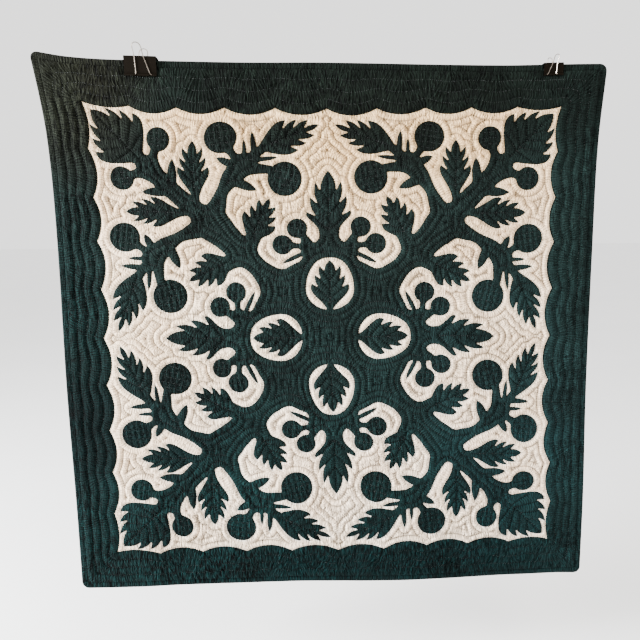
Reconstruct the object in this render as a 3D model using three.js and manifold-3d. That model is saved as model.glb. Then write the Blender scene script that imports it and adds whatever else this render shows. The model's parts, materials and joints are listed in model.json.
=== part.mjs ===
// A Hawaiian breadfruit quilt hung by its top edge from two spring clips.
// Millimetres, +Z up, the quilt's front towards -Y.
// The origin is the middle of the hung top edge, halfway through the quilt's thickness.
import * as THREE from 'three';
import { mergeVertices } from 'three/addons/utils/BufferGeometryUtils.js';
import Module from 'manifold-3d';

const wasm = await Module();
wasm.setup();

// Driving dimensions
const QUILT_SIDE = 914;
const HALF = QUILT_SIDE / 2;
const CORNER_RADIUS = 13;
const PADDED_THICKNESS = 6;
const CLOTH = 1;
const GAP = 0.3;
const BINDING_WIDTH = 10;
const PUNCH_DEPTH = 120;

// Each layer's front and back face, measured forward from the middle of the quilt's thickness
const GROUND_FRONT = PADDED_THICKNESS / 2;
const GROUND_BACK = -PADDED_THICKNESS / 2;
const APPLIQUE_BACK = GROUND_FRONT + GAP;
const APPLIQUE_FRONT = APPLIQUE_BACK + CLOTH;
const BINDING_BACK = GROUND_BACK - GAP - CLOTH;

// The square cloth (u across, v up from its middle) hangs a little out of square.
// Where its side edges come to, for each height v on the flat cloth
const SIDE_EDGES = [
  { v: -457, left: -450, right: 457 },
  { v: -300, left: -452, right: 457 },
  { v: -100, left: -456, right: 453 },
  { v: 150, left: -456, right: 452 },
  { v: 330, left: -460, right: 452 },
  { v: 457, left: -475, right: 461 },
];

// Where its top edge and foot come to, for each place u across the flat cloth
const LEVEL_EDGES = [
  { u: -457, top: 467, foot: -450 },
  { u: -400, top: 459, foot: -451 },
  { u: -304, top: 454.6, foot: -452 },
  { u: -150, top: 452, foot: -453 },
  { u: 0, top: 452, foot: -453 },
  { u: 280, top: 447, foot: -451 },
  { u: 371, top: 448.4, foot: -451 },
  { u: 457, top: 450, foot: -450 },
];
const TOP_MIDDLE = 452;

// How far the basted pattern strays from its drawn place, round one place on the flat cloth.
// It fades out between two distances from the middle, so the binding stays where it is
const DRIFT_REACH = 62;
const DRIFT_HOLD = 0.3;
const DRIFT_FADE = { from: 392, to: 446 };
const DRIFTS = [
  { u: -387, v: 350, right: -7, up: 3 },
  { u: -387, v: 235, right: -5, up: -4 },
  { u: -235, v: 375, right: -3, up: -2 },
  { u: -90, v: 375, right: -3, up: -3 },
  { u: 10, v: 387, right: 0, up: -5 },
  { u: -270, v: 337, right: -8, up: -6 },
  { u: -213, v: 315, right: -17, up: -6 },
  { u: -340, v: 168, right: -2, up: 6 },
  { u: -235, v: 97, right: 4, up: 4 },
  { u: -90, v: 240, right: -3, up: -5 },
  { u: 314, v: 387, right: 0, up: 3 },
  { u: -387, v: -350, right: -5, up: -1 },
  { u: -273, v: -71, right: 6, up: 2 },
  { u: -213, v: -320, right: -6, up: -6 },
  { u: -169, v: -350, right: 6, up: -11 },
  { u: -300, v: -390, right: 1, up: -9 },
  { u: -50, v: -365, right: 7, up: -13 },
  { u: -85, v: -240, right: 7, up: 0 },
  { u: -78, v: -162, right: 10, up: -6 },
  { u: 50, v: -360, right: 12, up: -11 },
  { u: 75, v: -260, right: 6, up: 0 },
  { u: 170, v: -360, right: 8, up: -3 },
  { u: 213, v: -300, right: 11, up: 0 },
  { u: 290, v: -380, right: 8, up: -5 },
  { u: 310, v: -213, right: 7, up: -7 },
  { u: 387, v: -300, right: 13, up: 1 },
  { u: 350, v: -350, right: 9, up: -2 },
  { u: 273, v: -71, right: 6, up: 0 },
  { u: 162, v: -78, right: 4, up: 6 },
  { u: 350, v: -30, right: -1, up: -4 },
];

// The soft folds that the cloth hangs in: how far it stands forward at each place across and level.
// It is flat where the clips grip it
const LEVELS = { top: 490, grip: 405, upper: 175, lower: -165, foot: -480 };
const FOLDS = [
  { x: -495, top: 15, grip: 6, upper: -6, lower: -4, foot: 4 },
  { x: -345, top: 0, grip: 0, upper: 2, lower: 5, foot: 1 },
  { x: -265, top: 0, grip: 0, upper: 5, lower: 2, foot: -3 },
  { x: -80, top: -5, grip: -3, upper: 0, lower: -3, foot: -5 },
  { x: 140, top: -4, grip: -2, upper: 5, lower: 4, foot: 5 },
  { x: 338, top: 0, grip: 0, upper: 1, lower: -1, foot: -2 },
  { x: 404, top: 0, grip: 0, upper: -2, lower: -3, foot: -3 },
  { x: 495, top: -6, grip: -4, upper: -6, lower: -2, foot: 5 },
];

// The cut motif is folded in eight, so the tables give one eighth, from the upright fold to the diagonal.
// A leaf on a fold is cut four times, any other eight times
const LEAVES = [
  {
    name: 'window leaf', base: [0, 42], tip: [0, 133], half: 31, teeth: 3, curve: 0.4,
    firstTooth: 0.56, lastTooth: 0.895, slot: 10.5, slant: 60, lastSlant: 42,
    sweep: 1.6, baseWidth: 0.08, onFold: true,
  },
  {
    name: 'upright leaf', base: [0, 173], tip: [0, 284], half: 36, teeth: 3, curve: 0.42,
    firstTooth: 0.4, lastTooth: 0.84, slot: 15, slant: 62, lastSlant: 26,
    sweep: 2.5, baseWidth: 0.42, onFold: true,
  },
  {
    name: 'corner leaf', base: [298, 298], tip: [375, 375], half: 47, teeth: 3, curve: 0.7,
    firstTooth: 0.58, lastTooth: 0.88, slot: 13, slant: 46, lastSlant: 14,
    sweep: 1.2, baseWidth: 0, onFold: true,
  },
  {
    name: 'side leaf', base: [133, 169], tip: [97, 241], half: 28, teeth: 3, curve: 0.4,
    firstTooth: 0.53, lastTooth: 0.9, slot: 12, slant: 66, lastSlant: 50,
    sweep: 1.4, baseWidth: 0.25, onFold: false,
  },
  {
    name: 'outer leaf', base: [113, 321], tip: [13, 361], half: 26, teeth: 3, curve: 0.54,
    firstTooth: 0.56, lastTooth: 0.876, slot: 13.5, slant: 46, lastSlant: 38,
    sweep: 1.15, baseWidth: 0.1, onFold: false,
  },
  {
    name: 'middle leaf', base: [213.5, 236], tip: [213.5, 335], half: 25, teeth: 3, curve: 0.3,
    firstTooth: 0.58, lastTooth: 0.89, slot: 12, slant: 55, lastSlant: 42,
    sweep: 1.8, baseWidth: 0.2, onFold: false,
  },
];
const FRUITS = [
  { name: 'low fruit', u: 53, v: 190, radius: 17 },
  { name: 'bay fruit', u: 78.5, v: 162, radius: 17.3 },
  { name: 'side fruit', u: 71, v: 273, radius: 28 },
  { name: 'top fruit', u: 169, v: 340.5, radius: 25 },
  { name: 'corner fruit', u: 270.5, v: 337, radius: 19.3 },
];
const STEMS = [
  {
    name: 'trunk',
    onFold: true,
    rows: [
      { u: 78, v: 78, half: 26 },
      { u: 97, v: 97, half: 26.5 },
      { u: 109, v: 109, half: 21 },
      { u: 123, v: 123, half: 17 },
      { u: 138, v: 138, half: 20 },
      { u: 191, v: 191, half: 30 },
      { u: 212, v: 212, half: 20 },
      { u: 273, v: 273, half: 16 },
      { u: 308, v: 308, half: 12 },
    ],
  },
  {
    name: 'branch',
    onFold: false,
    rows: [
      { u: 198, v: 200, half: 17 },
      { u: 183, v: 226, half: 14 },
      { u: 171, v: 252, half: 9 },
      { u: 155, v: 276, half: 14 },
      { u: 143, v: 289, half: 15 },
      { u: 128, v: 306, half: 12 },
    ],
  },
  {
    name: 'upright leaf stem',
    onFold: true,
    rows: [{ u: 0, v: 140, half: 29 }, { u: 0, v: 161, half: 25 }, { u: 0, v: 176, half: 16 }],
  },
  {
    name: 'side leaf stem',
    onFold: false,
    rows: [{ u: 142, v: 144, half: 13 }, { u: 125, v: 178, half: 12 }],
  },
  {
    name: 'low fruit stem',
    onFold: false,
    rows: [{ u: 32, v: 138, half: 14 }, { u: 35, v: 159, half: 9.5 }, { u: 45, v: 179, half: 5.5 }],
  },
  {
    name: 'bay fruit stem',
    onFold: false,
    rows: [{ u: 38, v: 152, half: 6 }, { u: 66, v: 161, half: 5 }],
  },
  {
    name: 'side fruit stem',
    onFold: false,
    rows: [{ u: 142, v: 292, half: 12 }, { u: 92, v: 288.3, half: 6.2 }],
  },
  {
    name: 'top fruit stem',
    onFold: false,
    rows: [{ u: 138, v: 296, half: 7 }, { u: 159, v: 326, half: 6 }],
  },
  {
    name: 'corner fruit stem',
    onFold: false,
    rows: [{ u: 283, v: 292, half: 14.5 }, { u: 279.5, v: 311, half: 7.5 }, { u: 275, v: 324, half: 7 }],
  },
  {
    name: 'outer leaf stem',
    onFold: false,
    rows: [{ u: 136, v: 301, half: 8 }, { u: 105, v: 321, half: 6.3 }],
  },
];
const SPRIGS = [
  { name: 'bay bud', base: [44, 146.5], tip: [80.5, 129], half: 4.2 },
  { name: 'tall blade', base: [118, 310], tip: [121, 350], half: 5.2 },
  { name: 'short blade', base: [133, 308], tip: [133.5, 337], half: 3.5 },
  { name: 'low blade', base: [120, 303.5], tip: [81, 308], half: 4 },
  { name: 'branch thorn', base: [158, 272], tip: [118, 255], half: 9 },
  { name: 'top thorn', base: [150, 296], tip: [174, 308], half: 7 },
  { name: 'trunk thorn', base: [251, 258], tip: [248, 306], half: 9 },
];
const FRUIT_SIDES = 8;
const HUB_RADIUS = 141.5;
const WINDOW = { v: 84, halfWide: 41, above: 56, below: 36 };
const FLANK_PARTS = 2;
const FLANK_TURN = 0.62 * Math.PI;
const SLOT_HALF = 1;

// The scallops of the border's inner edge, from the middle of a side to the corner
const SCALLOP_LINE = 387;
const SCALLOPS = [
  { from: 0, to: 82, depth: 11 },
  { from: 82, to: 162, depth: 11 },
  { from: 162, to: 238, depth: 10 },
  { from: 238, to: 314, depth: 10 },
  { from: 314, to: 388, depth: 6 },
];

// The two spring clips. Wire is the radius of their handles' wire, and rise the loop's height over the spine.
// A front handle stands off its clip's middle by atJaw and atSpine, and tilt turns the whole clip in degrees
const CLIPS = [
  {
    name: 'left_clip', x: -303.4, width: 51, spineTop: 458.6, jaw: 431, spineDepth: 25, steel: 0.8, tilt: 1.5,
    wire: 0.7, wideAtJaw: 22.5, wideAtSpine: 14, atJaw: 4.5, atSpine: -0.8, foot: 9, rise: 20,
  },
  {
    name: 'right_clip', x: 368, width: 32, spineTop: 449.8, jaw: 431.5, spineDepth: 16, steel: 0.6, tilt: -1.5,
    wire: 0.6, wideAtJaw: 13.5, wideAtSpine: 7.5, atJaw: -2.8, atSpine: 1.3, foot: 5.5, rise: 12.5,
  },
];
const WIRE_SIDES = 6;
const WIRE_STEPS = 36;
const ROLL_TURN = THREE.MathUtils.degToRad(262);
const ROLL_STEPS = 8;
const ROLL_ROOM = 0.5;
const NOTCH_ROOM = 1.4;
const NOTCH_FLOOR = 0.1;
const SPINE_BEND = 1.6;

const FINISHES = {
  cream: { color: 0xd9ccbd, roughness: 0.9, metalness: 0 },
  green: { color: 0x1d2a28, roughness: 0.88, metalness: 0 },
  black: { color: 0x141414, roughness: 0.4, metalness: 0.3 },
  nickel: { color: 0xb9b6b0, roughness: 0.3, metalness: 1 },
};

// --- Solids ---------------------------------------------------------------

function toSolid(geometry) {
  geometry.deleteAttribute('normal');
  geometry.deleteAttribute('uv');
  const merged = mergeVertices(geometry, 1e-4);
  return new wasm.Manifold(new wasm.Mesh({
    numProp: 3,
    vertProperties: new Float32Array(merged.attributes.position.array),
    triVerts: new Uint32Array(merged.index.array),
  }));
}

function toGeometry(solid) {
  const mesh = solid.getMesh();
  const geometry = new THREE.BufferGeometry();
  geometry.setAttribute('position', new THREE.BufferAttribute(mesh.vertProperties, 3));
  geometry.setIndex(new THREE.BufferAttribute(mesh.triVerts, 1));
  geometry.computeVertexNormals();
  return geometry;
}

function joined(solids) {
  return solids.reduce((whole, solid) => whole.add(solid));
}

// --- The hung cloth -------------------------------------------------------

// A smooth line through one column of a table, read at a place between its rows
function readColumn(rows, key, column, at) {
  let low = 0;
  while (low < rows.length - 2 && rows[low + 1][key] < at) {
    low += 1;
  }
  const slope = (i) => {
    const before = rows[Math.max(i - 1, 0)];
    const after = rows[Math.min(i + 1, rows.length - 1)];
    return (after[column] - before[column]) / (after[key] - before[key]);
  };
  const span = rows[low + 1][key] - rows[low][key];
  const t = (at - rows[low][key]) / span;
  const start = rows[low][column];
  const rise = rows[low + 1][column] - start;
  const bend = span * (slope(low) * t * (1 - t) ** 2 - slope(low + 1) * t * t * (1 - t));
  return start + rise * t * t * (3 - 2 * t) + bend;
}

// Where a point of the drawn pattern was basted
function strayed([u, v]) {
  let right = 0;
  let up = 0;
  let weights = DRIFT_HOLD;
  for (const drift of DRIFTS) {
    const away = Math.hypot(u - drift.u, v - drift.v) / DRIFT_REACH;
    const weight = Math.exp(-away * away);
    right += weight * drift.right;
    up += weight * drift.up;
    weights += weight;
  }
  const out = Math.max(Math.abs(u), Math.abs(v));
  const share = (1 - THREE.MathUtils.smoothstep(out, DRIFT_FADE.from, DRIFT_FADE.to)) / weights;
  return [u + right * share, v + up * share];
}

// Where a point of the flat cloth hangs, as x and z
function hung(drawn) {
  const [u, v] = strayed(drawn);
  const across = (u + HALF) / QUILT_SIDE;
  const up = (v + HALF) / QUILT_SIDE;
  const left = readColumn(SIDE_EDGES, 'v', 'left', v);
  const right = readColumn(SIDE_EDGES, 'v', 'right', v);
  const foot = readColumn(LEVEL_EDGES, 'u', 'foot', u);
  const top = readColumn(LEVEL_EDGES, 'u', 'top', u);
  return [left + (right - left) * across, foot + (top - foot) * up - TOP_MIDDLE];
}

// A punch straight through the cloth, with the outline of a shape on the flat cloth
function punch(outline) {
  const points = outline.map((point) => new THREE.Vector2(...hung(point)));
  const geometry = new THREE.ExtrudeGeometry(new THREE.Shape(points), {
    depth: PUNCH_DEPTH,
    bevelEnabled: false,
  });
  geometry.rotateX(Math.PI / 2);
  geometry.translate(0, PUNCH_DEPTH / 2, 0);
  return toSolid(geometry);
}

// A sheet in the hanging folds, larger than the quilt, from its front face to its back face
function foldedSheet(front, back) {
  const levels = Object.entries(LEVELS);
  const points = [];
  for (const face of [front, back]) {
    for (const [level, z] of levels) {
      for (const fold of FOLDS) {
        points.push(fold.x, -fold[level] - face, z - TOP_MIDDLE);
      }
    }
  }
  const wide = FOLDS.length;
  const layer = wide * levels.length;
  const faces = [];
  const quad = (a, b, c, d) => faces.push(a, b, c, a, c, d);
  for (let row = 0; row < levels.length - 1; row += 1) {
    for (let column = 0; column < wide - 1; column += 1) {
      const corner = row * wide + column;
      quad(corner, corner + wide, corner + wide + 1, corner + 1);
      quad(corner + layer, corner + 1 + layer, corner + wide + 1 + layer, corner + wide + layer);
    }
  }
  const rim = [];
  const last = levels.length - 1;
  for (let column = 0; column < wide - 1; column += 1) {
    rim.push([column, column + 1]);
    rim.push([last * wide + column + 1, last * wide + column]);
  }
  for (let row = 0; row < last; row += 1) {
    rim.push([(row + 1) * wide, row * wide]);
    rim.push([row * wide + wide - 1, (row + 1) * wide + wide - 1]);
  }
  for (const [from, to] of rim) {
    quad(from, to, to + layer, from + layer);
  }
  const geometry = new THREE.BufferGeometry();
  geometry.setAttribute('position', new THREE.Float32BufferAttribute(points, 3));
  geometry.setIndex(faces);
  return toSolid(geometry);
}

// --- Outlines on the flat cloth ---------------------------------------------

function circle(centre, radiusU, radiusV, sides) {
  const points = [];
  for (let i = 0; i < sides; i += 1) {
    const angle = ((i + 0.5) / sides) * 2 * Math.PI;
    points.push([centre[0] + radiusU * Math.cos(angle), centre[1] + radiusV * Math.sin(angle)]);
  }
  return points;
}

// The egg-shaped window, blunt towards the middle of the quilt
function windowOutline({ v, halfWide, above, below }, sides) {
  return circle([0, 0], halfWide, 1, sides).map(([u, up]) => [u, v + up * (up > 0 ? above : below)]);
}

// The quilt's outline, drawn in from its edge
function edge(inset) {
  const reach = HALF - inset;
  const radius = Math.max(CORNER_RADIUS - inset, 1);
  const sideParts = 5;
  const cornerParts = inset < CORNER_RADIUS ? 3 : 1;
  const points = [];
  for (let side = 0; side < 4; side += 1) {
    const turn = (side * Math.PI) / 2;
    const place = (a, b) => points.push([
      a * Math.cos(turn) - b * Math.sin(turn),
      a * Math.sin(turn) + b * Math.cos(turn),
    ]);
    for (let i = 1; i < sideParts; i += 1) {
      place(reach, -reach + radius + (i / sideParts) * 2 * (reach - radius));
    }
    for (let i = 0; i <= cornerParts; i += 1) {
      const angle = ((i / cornerParts) * Math.PI) / 2;
      place(reach - radius + radius * Math.cos(angle), reach - radius + radius * Math.sin(angle));
    }
  }
  return points;
}

// The scallops of one side, from a corner to the next, turned to each side in its turn
function scallopedLine() {
  const side = [
    ...SCALLOPS.map(({ from, to, depth }) => ({ from: to, to: from, depth })).reverse(),
    ...SCALLOPS.map(({ from, to, depth }) => ({ from: -from, to: -to, depth })),
  ];
  const arcParts = 3;
  const points = [];
  for (let turn = 0; turn < 4; turn += 1) {
    for (const { from, to, depth } of side) {
      for (let part = 0; part < arcParts; part += 1) {
        const t = part / arcParts;
        const v = SCALLOP_LINE - 4 * depth * t * (1 - t);
        points.push(quarterTurn([from + (to - from) * t, v], turn));
      }
    }
  }
  return points;
}

// Places points by their part of the way from a base to a tip and their part of the half width aside
function placerAlong([baseU, baseV], [tipU, tipV], half) {
  const lengthU = tipU - baseU;
  const lengthV = tipV - baseV;
  const length = Math.hypot(lengthU, lengthV);
  return (along, wide) => [
    baseU + lengthU * along + (wide * half * lengthV) / length,
    baseV + lengthV * along - (wide * half * lengthU) / length,
  ];
}

// A leaf has smooth flanks up to its first tooth, then teeth with a narrow slot behind each. Along its vein it
// goes from 0 at the base to 1 at the tip. Slant is a slot's turn from the vein in degrees
function leafOutline(leaf) {
  const { base, tip, half, teeth, firstTooth, lastTooth, slot, slant, lastSlant, baseWidth } = leaf;
  const length = Math.hypot(tip[0] - base[0], tip[1] - base[1]);
  const side = [];
  for (let part = 0; part < FLANK_PARTS; part += 1) {
    const t = part / FLANK_PARTS;
    const swell = Math.sin(FLANK_TURN * t ** leaf.sweep) / Math.sin(FLANK_TURN);
    side.push({ along: t * firstTooth, wide: baseWidth + (1 - baseWidth) * swell });
  }
  for (let tooth = 0; tooth < teeth; tooth += 1) {
    const along = firstTooth + (tooth / (teeth - 1)) * (lastTooth - firstTooth);
    const wide = ((1 - along) / (1 - firstTooth)) ** leaf.curve;
    const turn = THREE.MathUtils.degToRad(slant + (tooth / (teeth - 1)) * (lastSlant - slant));
    const slotEnd = wide - (slot * Math.sin(turn) + SLOT_HALF * Math.cos(turn)) / half;
    side.push({ along, wide });
    side.push({
      along: along - (slot * Math.cos(turn) - SLOT_HALF * Math.sin(turn)) / length,
      wide: Math.max(slotEnd, 0.22 * wide),
    });
  }
  const place = placerAlong(base, tip, half);
  return [
    ...side.map((point) => place(point.along, point.wide)),
    tip,
    ...side.reverse().map((point) => place(point.along, -point.wide)),
  ];
}

// A blade, bud or thorn narrows from its middle to its tip
function sprigOutline({ base, tip, half }) {
  const place = placerAlong(base, tip, half);
  return [place(0, 0.8), place(0.5, 0.85), place(1, 0), place(0.5, -0.85), place(0, -0.8)];
}

// A stem runs through its rows and is as wide as they say
function stemOutline({ rows }) {
  const near = [];
  const far = [];
  rows.forEach(({ u, v, half }, i) => {
    const before = rows[Math.max(i - 1, 0)];
    const after = rows[Math.min(i + 1, rows.length - 1)];
    const length = Math.hypot(after.u - before.u, after.v - before.v);
    const sideU = ((after.v - before.v) * half) / length;
    const sideV = (-(after.u - before.u) * half) / length;
    near.push([u + sideU, v + sideV]);
    far.unshift([u - sideU, v - sideV]);
  });
  return [...near, ...far];
}

function quarterTurn([u, v], turns) {
  const angle = (turns * Math.PI) / 2;
  const cos = Math.round(Math.cos(angle));
  const sin = Math.round(Math.sin(angle));
  return [u * cos - v * sin, u * sin + v * cos];
}

// Copies of an outline at the four quarters, and mirrored there where it isn't on a fold
function unfolded(outline, onFold) {
  const copies = [];
  for (let turn = 0; turn < 4; turn += 1) {
    copies.push(outline.map((point) => quarterTurn(point, turn)));
    if (!onFold) {
      copies.push(outline.map(([u, v]) => quarterTurn([-u, v], turn)));
    }
  }
  return copies;
}

// --- The quilt's pieces -----------------------------------------------------

function motifPunch() {
  const windows = joined(unfolded(windowOutline(WINDOW, 12), true).map(punch));
  const hub = punch(circle([0, 0], HUB_RADIUS, HUB_RADIUS, 28)).subtract(windows);
  const outlines = [
    ...LEAVES.flatMap((leaf) => unfolded(leafOutline(leaf), leaf.onFold)),
    ...FRUITS.flatMap(({ u, v, radius }) => unfolded(circle([u, v], radius, radius, FRUIT_SIDES), false)),
    ...STEMS.flatMap((stem) => unfolded(stemOutline(stem), stem.onFold)),
    ...SPRIGS.flatMap((sprig) => unfolded(sprigOutline(sprig), false)),
  ];
  return hub.add(joined(outlines.map(punch)));
}

function quiltGround() {
  return foldedSheet(GROUND_FRONT, GROUND_BACK).intersect(punch(edge(CLOTH + GAP)));
}

function borderApplique() {
  const band = punch(edge(BINDING_WIDTH + GAP)).subtract(punch(scallopedLine()));
  return foldedSheet(APPLIQUE_FRONT, APPLIQUE_BACK).intersect(band);
}

function motifApplique() {
  return foldedSheet(APPLIQUE_FRONT, APPLIQUE_BACK).intersect(motifPunch());
}

// One strip of cloth folded over the raw edge, with a leg on the front and one on the back
function binding() {
  const outside = foldedSheet(APPLIQUE_FRONT, BINDING_BACK).intersect(punch(edge(0)));
  const fold = foldedSheet(APPLIQUE_BACK, GROUND_BACK - GAP).intersect(punch(edge(CLOTH)));
  return outside.subtract(fold).subtract(punch(edge(BINDING_WIDTH)));
}

// --- The clips --------------------------------------------------------------

// Sizes that a clip's body and its handles share. Side is -1 at the front and 1 at the back
function clipFrame(clip, side) {
  const grip = (APPLIQUE_FRONT + GAP - (GROUND_BACK - GAP)) / 2 + clip.steel / 2;
  const middle = -(APPLIQUE_FRONT + GAP + GROUND_BACK - GAP) / 2;
  const spine = clip.spineDepth / 2 - clip.steel / 2;
  const bottom = clip.jaw - TOP_MIDDLE;
  const top = clip.spineTop - clip.steel / 2 - TOP_MIDDLE;
  const slant = Math.atan2(spine - grip, top - bottom);
  const roll = clip.wire + ROLL_ROOM + clip.steel / 2;
  const up = new THREE.Vector3(0, side * Math.sin(slant), Math.cos(slant));
  const out = new THREE.Vector3(0, side * Math.cos(slant), -Math.sin(slant));
  const jaw = new THREE.Vector3(clip.x, middle + side * grip, bottom);
  const rollCentre = jaw.clone().addScaledVector(out, roll);
  const leg = (top - bottom) / Math.cos(slant);
  return { middle, spine, top, slant, roll, up, out, rollCentre, leg };
}

// Turns a piece of a clip with the whole clip, about the middle of its jaws
function tilted(clip, solid) {
  const jaw = clip.jaw - TOP_MIDDLE;
  return solid.translate([-clip.x, 0, -jaw]).rotate([0, clip.tilt, 0]).translate([clip.x, 0, jaw]);
}

// The middle line of one half of the bent steel, from the rolled lip up the leg to the spine
function halfSteelLine(clip, side) {
  const { middle, spine, top, roll, up, out, rollCentre } = clipFrame(clip, side);
  const line = [];
  for (let i = ROLL_STEPS; i >= 0; i -= 1) {
    const turn = (i / ROLL_STEPS) * ROLL_TURN;
    line.push(rollCentre.clone()
      .addScaledVector(out, -roll * Math.cos(turn))
      .addScaledVector(up, -roll * Math.sin(turn)));
  }
  line.push(new THREE.Vector3(clip.x, middle + side * spine, top).addScaledVector(up, -SPINE_BEND));
  line.push(new THREE.Vector3(clip.x, middle + side * (spine - SPINE_BEND), top));
  return line;
}

// A strip of even thickness about its middle line, as an outline in y and z
function stripOutline(line, thickness) {
  const left = [];
  const right = [];
  line.forEach((point, i) => {
    const before = line[Math.max(i - 1, 0)];
    const after = line[Math.min(i + 1, line.length - 1)];
    const into = new THREE.Vector2(point.y - before.y, point.z - before.z).normalize();
    const outof = new THREE.Vector2(after.y - point.y, after.z - point.z).normalize();
    const along = into.clone().add(outof).normalize();
    const reach = thickness / 2 / Math.max(along.dot(i === 0 ? outof : into), 0.5);
    left.push(new THREE.Vector2(point.y - along.y * reach, point.z + along.x * reach));
    right.unshift(new THREE.Vector2(point.y + along.y * reach, point.z - along.x * reach));
  });
  return [...left, ...right];
}

// The notch in a rolled lip that a leg of the wire handle comes out of
function lipNotch(clip, side, x) {
  const { slant, roll, out, rollCentre } = clipFrame(clip, side);
  const height = 2 * (roll + clip.steel);
  const depth = 2 * (roll + clip.steel);
  const box = new THREE.BoxGeometry(2 * (clip.wire + NOTCH_ROOM), depth, height);
  box.rotateX(-side * slant);
  const start = -roll + clip.steel / 2 + NOTCH_FLOOR;
  const centre = rollCentre.clone().addScaledVector(out, start + depth / 2);
  box.translate(x, centre.y, centre.z);
  return toSolid(box);
}

function clipBody(clip) {
  const line = [...halfSteelLine(clip, -1), ...halfSteelLine(clip, 1).reverse()];
  const profile = new THREE.Shape(stripOutline(line, clip.steel));
  const geometry = new THREE.ExtrudeGeometry(profile, { depth: clip.width, bevelEnabled: false });
  const yzAlongX = new THREE.Matrix4().set(0, 0, 1, 0, 1, 0, 0, 0, 0, 1, 0, 0, 0, 0, 0, 1);
  geometry.applyMatrix4(yzAlongX);
  geometry.translate(clip.x - clip.width / 2, 0, 0);
  let body = toSolid(geometry);
  for (const side of [-1, 1]) {
    const middle = clip.x + (side < 0 ? clip.atJaw : 0);
    for (const wide of [-1, 1]) {
      body = body.subtract(lipNotch(clip, side, middle + (wide * clip.wideAtJaw) / 2));
    }
  }
  return tilted(clip, body);
}

// The wire runs from a foot in the rolled lip up over the leg, round its loop above the spine and back
function handle(clip, side) {
  const { up, rollCentre, leg } = clipFrame(clip, side);
  const corner = 2.2 * clip.wire;
  const loopRadius = clip.wideAtSpine / 2;
  const legTop = leg + clip.rise - loopRadius;
  const half = [
    { x: clip.wideAtJaw / 2 + clip.foot, height: 0 },
    { x: clip.wideAtJaw / 2 + corner, height: 0 },
    { x: clip.wideAtJaw / 2, height: corner },
    { x: loopRadius, height: leg },
    { x: loopRadius, height: legTop },
  ];
  const [atJaw, atSpine] = side < 0 ? [clip.atJaw, clip.atSpine] : [0, 0];
  const at = (x, height) => new THREE.Vector3(
    clip.x + x + atJaw + ((atSpine - atJaw) * height) / leg,
    rollCentre.y + up.y * height,
    rollCentre.z + up.z * height,
  );
  const [footEnd, bendStart, bendEnd, spineSide, loopStart] = half;
  const path = new THREE.CurvePath();
  const line = (a, b, sign) => {
    path.add(new THREE.LineCurve3(at(sign * a.x, a.height), at(sign * b.x, b.height)));
  };
  line(footEnd, bendStart, -1);
  path.add(new THREE.QuadraticBezierCurve3(
    at(-bendStart.x, 0),
    at(-bendEnd.x, 0),
    at(-bendEnd.x, bendEnd.height),
  ));
  line(bendEnd, spineSide, -1);
  line(spineSide, loopStart, -1);
  const loopPoints = [];
  for (let i = 0; i <= 8; i += 1) {
    const angle = Math.PI - (i / 8) * Math.PI;
    loopPoints.push(at(loopRadius * Math.cos(angle), legTop + loopRadius * Math.sin(angle)));
  }
  path.add(new THREE.CatmullRomCurve3(loopPoints));
  line(loopStart, spineSide, 1);
  line(spineSide, bendEnd, 1);
  path.add(new THREE.QuadraticBezierCurve3(
    at(bendEnd.x, bendEnd.height),
    at(bendEnd.x, 0),
    at(bendStart.x, 0),
  ));
  line(bendStart, footEnd, 1);
  const section = [];
  for (let i = 0; i < WIRE_SIDES; i += 1) {
    const angle = (i / WIRE_SIDES) * 2 * Math.PI;
    section.push(new THREE.Vector2(clip.wire * Math.cos(angle), clip.wire * Math.sin(angle)));
  }
  return tilted(clip, toSolid(new THREE.ExtrudeGeometry(new THREE.Shape(section), {
    steps: WIRE_STEPS,
    extrudePath: path,
  })));
}

// --- The hanging --------------------------------------------------------------

const hanging = new THREE.Group();

function addPiece(name, finish, solid) {
  const mesh = new THREE.Mesh(toGeometry(solid), new THREE.MeshStandardMaterial(FINISHES[finish]));
  mesh.name = name;
  hanging.add(mesh);
}

addPiece('quilt_ground', 'cream', quiltGround());
addPiece('border_applique', 'green', borderApplique());
addPiece('motif_applique', 'green', motifApplique());
addPiece('binding', 'green', binding());
for (const clip of CLIPS) {
  addPiece(`${clip.name}_body`, 'black', clipBody(clip));
  addPiece(`${clip.name}_front_handle`, 'nickel', handle(clip, -1));
  addPiece(`${clip.name}_back_handle`, 'nickel', handle(clip, 1));
}

export default hanging;
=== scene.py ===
"""Dresses a Hawaiian breadfruit quilt that hangs by its top edge from two spring clips.

Flat cloth places (u across, v up from the quilt's middle) are in millimetres. Meshes are in metres
in the shared frame: X right, Z up, the front towards -Y, and the origin at the middle of the hung
top edge. The quilt is drawn on one eighth of the flat cloth and copied to the other seven.
"""

import json
import logging
import math
from dataclasses import dataclass, field, replace
from enum import IntEnum
from functools import partial
from typing import Callable, Iterable, NamedTuple, Sequence

import bpy
import numpy as np
from mathutils import Euler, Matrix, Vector
from mathutils.geometry import delaunay_2d_cdt

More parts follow.
